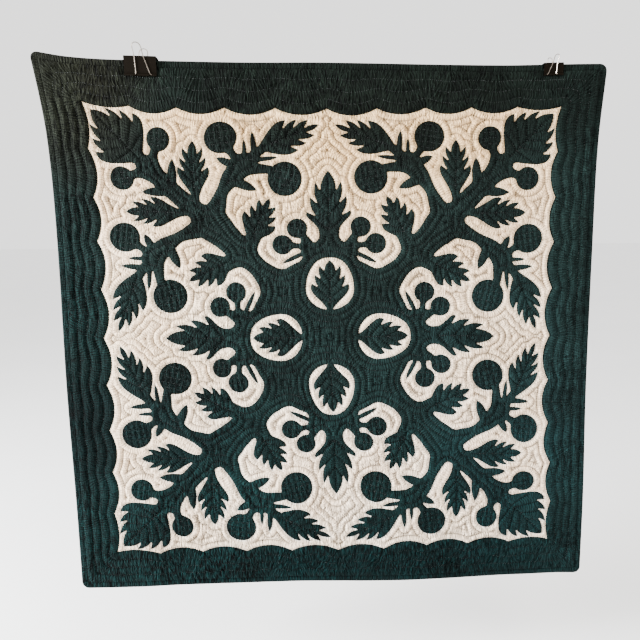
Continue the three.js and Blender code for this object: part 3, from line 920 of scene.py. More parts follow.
class FlatMesh(NamedTuple):
    """Triangles of the flat cloth and the region that each belongs to."""

    points: Array
    faces: Array
    regions: Array


def hex_points(step: float) -> Array:
    """An even triangular grid over the first eighth."""
    rise, grid = 0.866, []
    for number, row in enumerate(np.arange(0.5, HALF / (step * rise))):
        across = np.arange(0.25 + 0.5 * (number % 2), HALF / step) * step
        grid.append(np.column_stack((across, np.full(len(across), row * step * rise))))
    points = np.concatenate(grid)
    return points[points[:, 0] < points[:, 1] - step * 0.4]


def walled_groups(faces: Array, walls: set[tuple[int, int]]) -> Array:
    """Groups triangles that can be reached from each other.

    Args:
        faces: The triangles (T, 3).
        walls: The edges that part one group from another, the lower point number first.

    Returns:
        The number of one triangle of its group for each triangle.
    """
    owner: dict[tuple[int, int], int] = {}
    parent = list(range(len(faces)))

    def root(face: int) -> int:
        """The head of a face's group."""
        while parent[face] != face:
            parent[face] = parent[parent[face]]
            face = parent[face]
        return face

    for number, (p, q, r) in enumerate(faces.tolist()):
        for edge in ((p, q), (q, r), (r, p)):
            key = (min(edge), max(edge))
            if key in walls:
                continue
            if key in owner:
                parent[root(number)] = root(owner[key])
            else:
                owner[key] = number
    return np.array([root(face) for face in range(len(faces))])


@dataclass
class QuiltPlan:
    """Everything that is drawn on one eighth of the flat cloth.

    Attributes:
        vein_reach: How far the cloth sinks to each side of a vein or a crossing row.
        seam_inset: How far the binding's seam lies in from the quilt's edge.
        rim_inset: How far in the sheets end, inside the binding.
    """

    cut: BreadfruitCut = field(default_factory=BreadfruitCut)
    border: BorderEdge = field(default_factory=BorderEdge)
    grain: float = 1.0
    lattice_step: float = 1.0
    cream_pitch: float = 10.8
    motif_pitch: float = 10.8
    border_rows: int = 4
    hatch_pitch: float = 9.5
    vein_reach: float = 4.2
    seam_inset: float = 10.3
    rim_inset: float = 1.3

    def __post_init__(self) -> None:
        """Draws the outlines and measures the lattice."""
        self.lay_lattice()
        shape = self.cut.distance(self.lattice)
        points, segments = crossings(self.lattice, self.lattice_faces, shape, 0.0)
        lines = [points[line] for line in chained(segments)]
        lines = [line for line in lines if np.hypot(*np.diff(line, axis=0).T).sum() > 12]
        self.motif_lines = [simplified(line, 0.14, 3.0) for line in lines]
        self.scallop_line = self.border.points(2.6)
        self.motif_segments = to_segments(self.motif_lines)
        self.scallop_segments = to_segments([self.scallop_line])
        self.lattice_regions = self.region_at(self.lattice, shape)
        self.lattice_motif, _ = nearest(self.lattice, self.motif_segments)
        self.lattice_border, _ = nearest(self.lattice, self.scallop_segments)
        LOG.info("outline points %d", len(self.motif_segments))

    def lay_lattice(self) -> None:
        """Lays an even lattice of points and triangles over the first eighth."""
        count = int(HALF / self.lattice_step)
        number = np.full((count + 1, count + 1), -1)
        i, j = np.meshgrid(np.arange(count + 1), np.arange(count + 1), indexing="ij")
        inside = i <= j
        number[inside] = np.arange(inside.sum())
        self.lattice = np.column_stack((i[inside], j[inside])) * float(self.lattice_step)
        near, far = number[:-1, :-1], number[1:, 1:]
        lower = np.stack((near, far, number[:-1, 1:]), axis=-1).reshape(-1, 3)
        upper = np.stack((near, number[1:, :-1], far), axis=-1).reshape(-1, 3)
        both = np.concatenate((lower, upper))
        self.lattice_faces = both[(both >= 0).all(axis=1)]

    def region_at(self, points: Array, shape: Array | None = None) -> Array:
        """The region of each flat place in the first eighth."""
        shape = self.cut.distance(points) if shape is None else shape
        regions = np.where(shape < 0, Region.MOTIF, Region.CREAM)
        regions = np.where(points[:, 1] > self.border.height(points[:, 0]), Region.BORDER, regions)
        return np.where(points[:, 1] > HALF - self.seam_inset, Region.MARGIN, regions)

    def border_share(self, points: Array, from_scallops: Array) -> Array:
        """How far out each place of the border lies: 0 at the scallops, 1 at the outer seam."""
        from_seam = np.maximum(HALF - self.seam_inset - points[:, 1], 0)
        return from_scallops / np.maximum(from_scallops + from_seam, 1e-6)

    def rows(self, region: Region, share: float) -> list[tuple[Array, Array]]:
        """Rows of quilting in a region.

        Args:
            region: The region.
            share: 0 for the rows themselves, or a share of the pitch past each.

        Returns:
            The points and joined pairs of each row.
        """
        out = self.border_share(self.lattice, self.lattice_border)
        pitch, values = {
            Region.CREAM: (self.cream_pitch, np.minimum(self.lattice_motif, self.lattice_border)),
            Region.MOTIF: (self.motif_pitch, self.lattice_motif),
            Region.BORDER: (1 / self.border_rows, out),
        }[region]
        own = self.lattice_regions == region
        faces = self.lattice_faces[own[self.lattice_faces].all(axis=1)]
        levels = np.arange(share if share else 1.0, values[own].max() / pitch - 0.02) * pitch
        found = []
        for level in levels:
            points, pairs = crossings(self.lattice, faces, values, level)
            if region is Region.MOTIF and len(points):
                free = self.drawn_over(points) < 0.5
                pairs = pairs[free[pairs].all(axis=1)]
            if len(pairs):
                found.append((points, pairs))
        return found

    def row_points(self, region: Region, share: float) -> Array:
        """The points of all rows of a region, or of lines a share of the pitch past them."""
        return np.concatenate([np.zeros((0, 2)), *(row for row, _ in self.rows(region, share))])

    def drawn_over(self, points: Array) -> Array:
        """How far leaves and fruits, which have their own quilting, cover each place."""
        fade = 3
        cover = np.zeros(len(points))
        for leaf in self.cut.leaves:
            inside = smooth_step(0, fade, -polygon_distance(points, leaf.outline()))
            cover = np.maximum(cover, inside * smooth_step(-0.02, 0.12, leaf.along(points)))
        for fruit in self.cut.fruits:
            cover = np.maximum(cover, smooth_step(0, fade, -fruit.distance(points)))
        return cover

    def hatch_lines(self, fruit: Fruit) -> Array:
        """The crossing lines of stitches on a fruit, as segments."""
        count = int(fruit.radius / self.hatch_pitch)
        reach, shortest = fruit.radius - 1.0, 4
        cos, sin = math.cos(fruit.hatch_turn), math.sin(fruit.hatch_turn)
        segments = []
        for k in range(-count, count + 1):
            off = k * self.hatch_pitch
            end = math.sqrt(max(reach**2 - off**2, 0))
            if end > shortest:
                segments += [[(off, -end), (off, end)], [(-end, off), (end, off)]]
        return np.array(segments) @ np.array([[cos, sin], [-sin, cos]]) + (fruit.u, fruit.v)

    def inner_segments(self) -> Array:
        """Veins and hatching in the motif, as segments."""
        parts = [leaf.veins() for leaf in self.cut.leaves]
        parts += [self.hatch_lines(fruit) for fruit in self.cut.fruits]
        return np.concatenate(parts)

    def inner_lines(self, step: float) -> list[Array]:
        """Veins and hatching as lines of points, kept in the motif and the first eighth."""
        lines = []
        for start, end in self.inner_segments():
            count = max(2, int(np.hypot(*(end - start)) / step))
            points = start + np.linspace(0, 1, count)[:, None] * (end - start)
            level = (points[:, 0] >= -1e-6) & (points[:, 0] <= points[:, 1] + 1e-6)
            fine = level & (self.cut.distance(points) < -1.2)
            ends = np.flatnonzero(np.diff(fine.astype(int))) + 1
            for run in np.split(np.arange(count), ends):
                if fine[run[0]] and len(run) > 2:
                    lines.append(points[run])
        return lines

    def read(self, points: Array, regions: Array) -> tuple[Array, Array, Array]:
        """Measures how the quilting lies at each place of the first eighth.

        Args:
            points: Flat places.
            regions: The region that each is read in.

        Returns:
            The puff from 0 at a stitch line to 1, the unit direction across the rows, and the
            distance to the edge of the region.
        """
        motif, motif_way = nearest(points, self.motif_segments)
        border, border_way = nearest(points, self.scallop_segments)
        in_cream, in_border = regions == Region.CREAM, regions == Region.BORDER
        by_border = in_border | (in_cream & (border < motif))
        distance = np.where(by_border, border, motif)
        way = np.where(by_border[:, None], border_way, motif_way)
        turns = distance / np.where(in_cream, self.cream_pitch, self.motif_pitch)
        turns = np.where(in_border, self.border_share(points, border) * self.border_rows, turns)
        groove = np.abs(turns - np.round(turns)) * 2
        seam = np.where(in_border, HALF - self.seam_inset - points[:, 1], 1e3)
        groove[regions == Region.MARGIN] = 0.0
        inside = np.flatnonzero(regions == Region.MOTIF)
        cover = self.drawn_over(points[inside])
        inner, inner_way = nearest(points[inside], self.inner_segments())
        own = np.minimum(inner / self.vein_reach, distance[inside] / self.vein_reach)
        groove[inside] = groove[inside] * (1 - cover) + np.minimum(own, 1.0) * cover
        drawn = (cover > 0.5) & (inner < distance[inside])
        way[inside[drawn]] = inner_way[drawn]
        groove = np.clip(groove, 0.0, 1.0)
        return (1 - (1 - groove) ** 2) ** 0.8, way, np.minimum(distance, np.maximum(seam, 0))

    def classed(self, bed: PointBed) -> FlatMesh:
        """Joins laid points into triangles and finds each one's region."""
        bed.close()
        vectors = [Vector(point) for point in bed.laid]
        found = delaunay_2d_cdt(vectors, bed.edges, [], 0, 1e-5)
        coords, edges, faces, _, edge_ids, _ = found
        points = np.array([tuple(p) for p in coords])
        faces = np.array([tuple(f) for f in faces])
        a, b, c = points[faces[:, 0]], points[faces[:, 1]], points[faces[:, 2]]
        area = np.cross(b - a, c - a) / 2
        faces[area < 0] = faces[area < 0][:, ::-1]
        faces, area = faces[np.abs(area) > 1e-7], np.abs(area[np.abs(area) > 1e-7])
        fixed = {tuple(sorted(edge)) for edge, ids in zip(edges, edge_ids) if ids}
        groups = walled_groups(faces, fixed)
        centres, kinds = points[faces].mean(axis=1), len(Region)
        votes = groups * kinds + self.region_at(centres)
        votes = np.bincount(votes, weights=area, minlength=len(faces) * kinds)
        return FlatMesh(points, faces, votes.reshape(-1, kinds).argmax(axis=1)[groups])

    def bed(self) -> PointBed:
        """A bed with the outlines that both layers of the face share."""
        bed = PointBed()
        bed.line(inset_edge(self.rim_inset, RIM_STEP))
        for line in self.motif_lines:
            bed.line(line)
        bed.line(self.scallop_line)
        bed.line(inset_edge(self.seam_inset, RIM_STEP))
        bed.laid.append((0.0, 0.0))
        return bed

    def fold_points(self, step: float) -> Array:
        """Points along the two folds."""
        up = np.arange(step / 2, HALF - self.rim_inset - step / 2, step)
        out = up[up < HALF - self.rim_inset - 4.5]
        return np.vstack((np.column_stack((np.zeros(len(up)), up)), np.column_stack((out, out))))

    def face_mesh(self) -> FlatMesh:
        """The fine mesh of the quilt's face, with points along every row of stitches."""
        bed = self.bed()
        grain = self.grain
        bed.lay(self.fold_points(2.0 * grain), 1.2 * grain)
        bed.lay(np.concatenate(self.inner_lines(STITCH_LINE_STEP)), 1.35 * grain)
        in_motif = np.where(self.lattice_regions == Region.MOTIF, self.lattice_motif, 0.0)
        ring, _ = crossings(self.lattice, self.lattice_faces, in_motif, 1.3)
        bed.lay(ring, 1.15 * grain)
        for region in QUILTED:
            for share, room in ((0.0, 1.45), (0.5, 1.5), (0.25, 1.55), (0.75, 1.55)):
                bed.lay(self.row_points(region, share), room * grain)
        bed.lay(hex_points(2.1 * grain), 1.75 * grain)
        return self.classed(bed)

    def hidden_mesh(self) -> FlatMesh:
        """The coarse mesh of what the applied pieces cover."""
        bed = self.bed()
        bed.lay(self.fold_points(9.0), 4.0)
        bed.lay(hex_points(9.0), 5.0)
        return self.classed(bed)

    def back_mesh(self) -> FlatMesh:
        """The mesh of the quilt's back."""
        bed = PointBed()
        bed.line(inset_edge(self.rim_inset, RIM_STEP))
        bed.laid.append((0.0, 0.0))
        bed.lay(self.fold_points(4.0), 2.5)
        bed.lay(np.concatenate(self.inner_lines(1.5)), 3.6)
        for region in QUILTED:
            for share, room in ((0.0, 3.3), (0.5, 3.7)):
                bed.lay(self.row_points(region, share), room)
        bed.lay(hex_points(4.8), 4.2)
        return self.classed(bed)


# --- Sheets ---


@dataclass
class Spread:
    """A flat mesh unfolded from the eighth to the whole cloth."""

    flat: Array
    faces: Array
    puff: Array
    across: Array
    edge_gap: Array


def unfold(plan: QuiltPlan, mesh: FlatMesh, keep: Sequence[Region]) -> Spread:
    """Copies the chosen regions of one eighth to the whole cloth and measures them.

    Args:
        plan: The plan that the mesh was drawn on.
        mesh: The mesh of the first eighth.
        keep: The regions that are wanted.

    Returns:
        The whole, with its points merged where the copies meet.
    """
    wanted = np.isin(mesh.regions, keep)
    used, index = np.unique(mesh.faces[wanted], return_inverse=True)
    faces = index.reshape(-1, 3)
    points = mesh.points[used]
    own = np.full(len(points), Region.MARGIN, int)
    np.minimum.at(own, faces.ravel(), np.repeat(mesh.regions[wanted], 3))
    puff, across, edge_gap = plan.read(points, own)
    copies = eighth_copies()
    all_faces = []
    for number, matrix in enumerate(copies):
        turned = faces if np.linalg.det(matrix) > 0 else faces[:, ::-1]
        all_faces.append(turned + number * len(points))
    whole = np.concatenate([points @ matrix for matrix in copies])
    keys = flat_keys(whole, 2000)
    _, first, inverse = np.unique(keys, return_index=True, return_inverse=True)
    return Spread(
        whole[first],
        inverse.ravel()[np.concatenate(all_faces)],
        np.tile(puff, EIGHTHS)[first],
        np.concatenate([across @ matrix for matrix in copies])[first],
        np.tile(edge_gap, EIGHTHS)[first],
    )


def boundary_edges(faces: Array) -> Array:
    """The directed edges that only one triangle has."""
    edges = np.concatenate((faces[:, [0, 1]], faces[:, [1, 2]], faces[:, [2, 0]]))
    size = int(faces.max()) + 1
    forward = edges[:, 0].astype(np.int64) * size + edges[:, 1]
    backward = edges[:, 1].astype(np.int64) * size + edges[:, 0]
    return edges[~np.isin(forward, backward)]


def flat_keys(flat: Array, per_mm: int) -> Array:
    """A whole number for each flat place, the same for places that round to the same."""
    keys = np.round(flat * per_mm).astype(np.int64)
    return keys[:, 0] * 4_000_000 + keys[:, 1]


def linked(name: str, data: bpy.types.ID) -> Object:
    """A new object in the scene, with its mesh, lamp or camera."""
    obj = bpy.data.objects.new(name, data)
    bpy.context.scene.collection.objects.link(obj)
    return obj


def mesh_object(name: str, points: Array, faces: Array) -> Object:
    """A smooth-shaded mesh object from points and triangles or quads of one kind."""
    mesh = bpy.data.meshes.new(name)
    mesh.vertices.add(len(points))
    mesh.vertices.foreach_set("co", np.asarray(points, np.float32).ravel())
    corners = faces.shape[1]
    mesh.loops.add(faces.size)
    mesh.loops.foreach_set("vertex_index", faces.astype(np.int32).ravel())
    mesh.polygons.add(len(faces))
    starts = np.arange(len(faces), dtype=np.int32) * corners
    mesh.polygons.foreach_set("loop_start", starts)
    mesh.update(calc_edges=True)
    mesh.validate()
    mesh.polygons.foreach_set("use_smooth", np.ones(len(mesh.polygons), bool))
    return linked(name, mesh)


def attach_quilting(
    obj: Object, flat: Array, puff: Array, angle: Array, gap: Array, front: Array
) -> None:
    """Gives each point of a sheet its flat place and how it is quilted.

    Args:
        obj: The sheet.
        flat: Flat places in millimetres, kept in metres as a UV map.
        puff: How far the cloth puffs up, from 0 at a stitch line to 1, which also sets the painted
            shade of the stitch lines.
        angle: The direction of the rows, kept so that it has no jump at a half turn.
        gap: The distance to the edge of the region, in millimetres.
        front: 1 on the front and 0 on the back.
    """
    turn = np.column_stack((np.cos(2 * angle), np.sin(2 * angle), np.zeros(len(angle))))
    for name, values in ((PUFF, puff), (ROW_TURN, turn), (EDGE_GAP, gap), (FRONT, front)):
        kind, key = ("FLOAT_VECTOR", "vector") if values.ndim == 2 else ("FLOAT", "value")
        attribute = obj.data.attributes.new(name, kind, "POINT")
        attribute.data.foreach_set(key, values.astype(np.float32).ravel())
    layer = obj.data.uv_layers.new(name=CLOTH_UV)
    index = np.zeros(len(obj.data.loops), np.int32)
    obj.data.loops.foreach_get("vertex_index", index)
    layer.data.foreach_set("uv", (flat * MM)[index].astype(np.float32).ravel())


@dataclass(frozen=True)
class Padding:
    """How the batting puffs between the stitches, in millimetres.

    Attributes:
        valley: The lift of the stitch lines over the middle of the thickness.
        under: How far a covered face lies under the valley.
        crumple: The height of slanted wrinkles in the border.
        crumple_turn: The size of the patches in which they slant alike.
        calm: How far the border is filled out under its wrinkles.
        squeezed: How far the cloth stands over the valley in a clip.
    """

    valley: float = 1.9
    cream: float = 4.0
    motif: float = 2.9
    border: float = 4.0
    back: float = 1.7
    cloth: float = 1.0
    under: float = 0.1
    lump: float = 0.6
    lump_sizes: Pair = (46.0, 17.0)
    uneven: float = 0.18
    uneven_size: float = 31.0
    pucker: float = 0.55
    border_pucker: float = 0.75
    pucker_pitch: float = 5.2
    crumple: float = 1.25
    crumple_pitch: float = 8.2
    crumple_turn: float = 38.0
    calm: float = 0.42
    squeezed: float = 0.35

    def calmed(self, spread: Spread, region: Region | None) -> tuple[Spread, Array]:
        """Evens the border's rows out where wrinkles cross them: above, below and at the right.

        Args:
            spread: The spread mesh with its measures.
            region: The region it is in, or None for the back.

        Returns:
            The spread with calmer rows, and how calm each point is.
        """
        calm = np.zeros(len(spread.flat))
        if region is Region.BORDER:
            right, up = spread.flat[:, 0], spread.flat[:, 1]
            above = smooth_step(368, 392, up)
            below = smooth_step(350, 385, -up) * smooth_step(-400, -300, right)
            aside = smooth_step(360, 390, right)
            calm = np.maximum(np.maximum(above, 0.9 * below), 0.5 * aside)
        return replace(spread, puff=spread.puff + self.calm * calm * (1 - spread.puff)), calm

    def crumpled(self, flat: Array, along: Array, calm: Array) -> Array:
        """The slanted wrinkles of the border, most of them along its foot.

        Args:
            flat: Flat places (N, 2).
            along: The unit direction of the rows at each.
            calm: How calm the rows are at each.

        Returns:
            Heights in millimetres.
        """
        share = calm * np.where(flat[:, 1] < 300, 1.0, 0.25)
        turn = 0.9 * value_noise(flat, self.crumple_turn, Salt.CRUMPLE_TURN) + 0.35
        cos, sin = np.cos(turn), np.sin(turn)
        u, v = along[:, 0], along[:, 1]
        slanted = np.column_stack((u * cos - v * sin, u * sin + v * cos))
        coarse = pucker_noise(flat, slanted, self.crumple_pitch, Salt.CRUMPLE)
        return self.crumple * share * coarse

    def face(self, spread: Spread, cloth: HungCloth, region: Region | None) -> Array:
        """The lift of the cloth's face over the middle of the thickness.

        Args:
            spread: The spread mesh with its measures.
            cloth: The hung cloth, for where clips squeeze it.
            region: The region it is in, or None for the back.

        Returns:
            The lift of each point.
        """
        spread, calm = self.calmed(spread, region)
        flat, puff = spread.flat, spread.puff
        along = np.column_stack((-spread.across[:, 1], spread.across[:, 0]))
        pucker = pucker_noise(flat, along, self.pucker_pitch, Salt.PUCKER)
        if region is Region.BORDER:
            pucker = pucker * self.border_pucker * (1 + 0.7 * calm)
            pucker = pucker + self.crumpled(flat, along, calm)
        else:
            pucker *= self.pucker
        wide, fine = self.lump_sizes
        lumps = value_noise(flat, wide, Salt.LUMP) * 0.6
        lumps = lumps + value_noise(flat, fine, Salt.FINE_LUMP) * 0.4
        uneven = 1 + self.uneven * value_noise(flat, self.uneven_size, Salt.UNEVEN)
        heights = (self.cream, self.motif, self.border)
        height = self.back if region is None else heights[region]
        lift = self.valley + height * puff * uneven + self.lump * lumps * (0.3 + 0.7 * puff)
        lift += pucker * (0.55 + 0.45 * puff)
        squeezed = cloth.squeeze(cloth.spread(flat))
        return lift * (1 - squeezed) + np.minimum(lift, self.valley + self.squeezed) * squeezed


@dataclass
class QuiltLayer:
    """A layer of the quilt, built as a closed sheet."""

    plan: QuiltPlan
    cloth: HungCloth
    padding: Padding

    def closed(self, name: str, parts: Sequence[tuple[Spread, Array, bool]]) -> Object:
        """Makes one closed sheet.

        Args:
            name: The object's name.
            parts: Spreads with the lift of each point, and whether the spread is the back.
                Parts of a side are joined at shared places, and walls join the two sides.

        Returns:
            The object, with its flat places as a UV map and its quilting as attributes.
        """
        faces, columns, start = [], [], 0
        for spread, lift, backward in parts:
            faces.append((spread.faces[:, ::-1] if backward else spread.faces) + start)
            side = np.full(len(lift), backward)
            columns.append((spread.flat, lift, spread.puff, spread.across, spread.edge_gap, side))
            start += len(lift)
        flat, lift, puff, across, gap, back = map(np.concatenate, zip(*columns))
        keys = flat_keys(flat, 500) * 2 + back
        _, first, inverse = np.unique(keys, return_index=True, return_inverse=True)
        merged = inverse.ravel()[np.concatenate(faces)]
        flat, back, keys = flat[first], back[first], flat_keys(flat[first], 500)
        partner = dict(zip(keys[back].tolist(), np.flatnonzero(back).tolist()))
        walls = []
        for a, b in boundary_edges(merged[~back[merged[:, 0]]]).tolist():
            far_a, far_b = partner[int(keys[a])], partner[int(keys[b])]
            walls += [(b, a, far_a), (b, far_a, far_b)]
        merged = np.concatenate((merged, np.array(walls)))
        obj = mesh_object(name, self.cloth.points(flat, lift[first]), merged)
        angle = np.arctan2(across[:, 1], across[:, 0]) + math.pi / 2
        front = np.where(back, 0.0, 1.0)
        attach_quilting(obj, flat, puff[first], angle[first], gap[first], front)
        return obj


class QuiltGround(QuiltLayer):
    """The cream ground with its batting and back, quilted together."""

    def seen(self, face: FlatMesh) -> tuple[Spread, Array, bool]:
        """The cream face, which dips under the applied pieces at its edge."""
        valley = self.padding.valley
        seen = unfold(self.plan, face, [Region.CREAM])
        lift = self.padding.face(seen, self.cloth, Region.CREAM)
        lift = valley + (lift - valley) * smooth_step(0.0, 3.2, seen.edge_gap)
        lift[seen.edge_gap < 0.05] = valley - self.padding.under
        # From here the puff only sets the painted shade, held up near the seam so that the cream's
        # edge is not painted darker.
        painted_shade_cap = 0.6 - 0.6 * smooth_step(1.4, 3.4, seen.edge_gap)
        return replace(seen, puff=np.maximum(seen.puff, painted_shade_cap)), lift, False

    def covered(self, hidden: FlatMesh) -> tuple[Spread, Array, bool]:
        """The face under the applied pieces and the binding, sunk clear of them."""
        covered = unfold(self.plan, hidden, [Region.MOTIF, Region.BORDER, Region.MARGIN])
        sunk = 1.2 * smooth_step(0.0, 4.0, covered.edge_gap)
        return covered, self.padding.valley - self.padding.under - sunk, False

    def behind(self, back: FlatMesh) -> tuple[Spread, Array, bool]:
        """The back, flatter where the binding covers it and with fainter painted shade in its rows.
        """
        behind = unfold(self.plan, back, list(Region))
        lift = -self.padding.face(behind, self.cloth, None) + 0.2
        under_binding = np.abs(behind.flat).max(axis=1) > HALF - 12
        lift = np.where(under_binding, np.maximum(lift, -2.0), lift)
        return replace(behind, puff=0.3 + 0.7 * behind.puff), lift, True

    def build(self, face: FlatMesh, hidden: FlatMesh, back: FlatMesh) -> Object:
        """Builds the ground from its face, what is covered, and its back."""
        parts = [self.seen(face), self.covered(hidden), self.behind(back)]
        return self.closed("quilt_ground_cloth", parts)


class Applique(QuiltLayer):
    """A green piece laid on the ground with its edge turned under."""

    def rolled(self, front: Spread, region: Region) -> Array:
        """The lift of the piece's front, rounded down to the ground at its turned edge."""
        valley = self.padding.valley
        edge = np.clip(front.edge_gap / 1.25, 0, 1)
        turned = 0.45 + 0.55 * np.sqrt(1 - (1 - edge) ** 2)
        lift = self.padding.face(front, self.cloth, region)
        lift = np.where(edge < 1, valley + (lift - valley) * edge, lift)
        return lift + self.padding.cloth * turned

    def build(self, name: str, face: FlatMesh, hidden: FlatMesh, region: Region) -> Object:
        """Builds the piece.

        Args:
            name: The object's name.
            face: The fine mesh of the quilt's face.
            hidden: The coarse mesh, for the side that lies on the ground.
            region: The region that the piece fills.

        Returns:
            The object.
        """
        front, under = (unfold(self.plan, mesh, [region]) for mesh in (face, hidden))
        lift = self.rolled(front, region)
        # From here the puff only sets the painted shade: calmer rows, less of it along the edge,
        # and lighter painted shade on the fruits.
        front, _ = self.padding.calmed(front, region)
        painted_shade_cap = 0.6 - 0.6 * smooth_step(0.8, 2.8, front.edge_gap)
        eighth = np.sort(np.abs(front.flat), axis=1)
        for fruit in self.plan.cut.fruits:
            painted_shade_cap[fruit.distance(eighth) < 0] = 0.28
        front = replace(front, puff=np.maximum(front.puff, painted_shade_cap))
        sunk = 0.75 * smooth_step(0.0, 3.0, under.edge_gap)
        under_lift = self.padding.valley - self.padding.under - sunk
        return self.closed(name, [(front, lift, False), (under, under_lift, True)])


@dataclass
class Binding:
    """The narrow strip folded over the quilt's raw edge, whose fold has the radius `turn`."""

    cloth: HungCloth
    width: float = 11.2
    skin: float = 0.9
    turn: float = 2.6
    step: float = 2.4
    pucker_pitch: float = 6.5

    def sections(self) -> tuple[Array, Array]:
        """Places round the edge as a start point and a unit direction outwards."""
        centre = HALF - CORNER_RADIUS
        run = np.arange(-centre, centre, self.step)
        straight = np.column_stack((np.full(len(run), centre), run))
        corner = np.radians(np.linspace(0, 90, 9))
        round_way = np.column_stack((np.cos(corner), np.sin(corner)))
        starts = np.vstack((straight, np.tile((centre, centre), (len(corner), 1))))
        ways = np.vstack((np.tile((1.0, 0.0), (len(run), 1)), round_way))
        starts, ways = (
            np.concatenate([quarter_turn(values, side) for side in range(4)])
            for values in (starts, ways)
        )
        return starts, ways

    def profile(self) -> Array:
        """The strip's section as inset from the edge and lift, outside first, then inside."""
        turn, reach = self.turn, self.width - self.turn
        outside = []
        for t in np.linspace(0, 1, 7):
            crown = math.sin(math.pi * (0.12 + 0.5 * t)) ** 0.8
            outside.append((self.width - reach * t, 2.55 + 1.9 * crown))
        for angle in np.radians([55, 25, 0, -25, -55]):
            outside.append((turn - turn * math.cos(angle), 4.2 * math.sin(angle)))
        for t in np.linspace(0, 1, 6):
            outside.append((turn + reach * t, -4.3 + 1.5 * t**2))
        inset, lift = np.array(outside[::-1]).T
        inner = inset + np.where(inset < 4, self.skin, 0.25)
        height = np.abs(lift)
        height = np.maximum(height - self.skin * smooth_step(0.4, 3.0, height), 0)
        inside = (np.minimum(inner, self.width - 0.3), np.sign(lift) * height)
        return np.vstack((outside, np.column_stack(inside)))

    def skinned(self, rounds: int, around: int) -> Array:
        """The quads that join each point of each section to the next ones."""
        section, point = np.meshgrid(np.arange(rounds), np.arange(around), indexing="ij")
        here, after = section * around, (section + 1) % rounds * around
        onward = (point + 1) % around
        corners = (here + point, after + point, after + onward, here + onward)
        return np.stack(corners, axis=-1).reshape(-1, 4)

    def build(self) -> Object:
        """Builds the strip."""
        starts, ways = self.sections()
        profile = self.profile()
        rounds, around = len(starts), len(profile)
        inset, lift = (np.tile(column, rounds) for column in profile.T)
        start, way = (np.repeat(values, around, axis=0) for values in (starts, ways))
        flat = start + way * (CORNER_RADIUS - inset)[:, None]
        along = np.column_stack((-way[:, 1], way[:, 0]))
        pucker = pucker_noise(flat, along, self.pucker_pitch, Salt.BINDING_PUCKER)
        lift = lift * (1 + 0.07 * pucker + 0.06 * value_noise(flat, 21.0, Salt.BINDING))
        squeezed = self.cloth.squeeze(self.cloth.spread(flat))
        lift = lift * (1 - squeezed) + np.clip(lift, -3.4, 3.3) * squeezed
        quads = self.skinned(rounds, around)
        obj = mesh_object("binding_strip", self.cloth.points(flat, lift), quads)
        # The puff attribute paints shade along the strip's sewn inner edge.
        puff = 1 - 0.7 * smooth_step(9.6, 11.0, inset)
        angle = np.arctan2(along[:, 1], along[:, 0])
        gap = np.maximum(self.width - inset, 0)
        attach_quilting(obj, flat, puff, angle, gap, np.ones(len(inset)))
        return obj


# --- Materials ---

Colour = tuple[float, float, float, float]
Socket = bpy.types.NodeSocket
Value = Socket | float | tuple


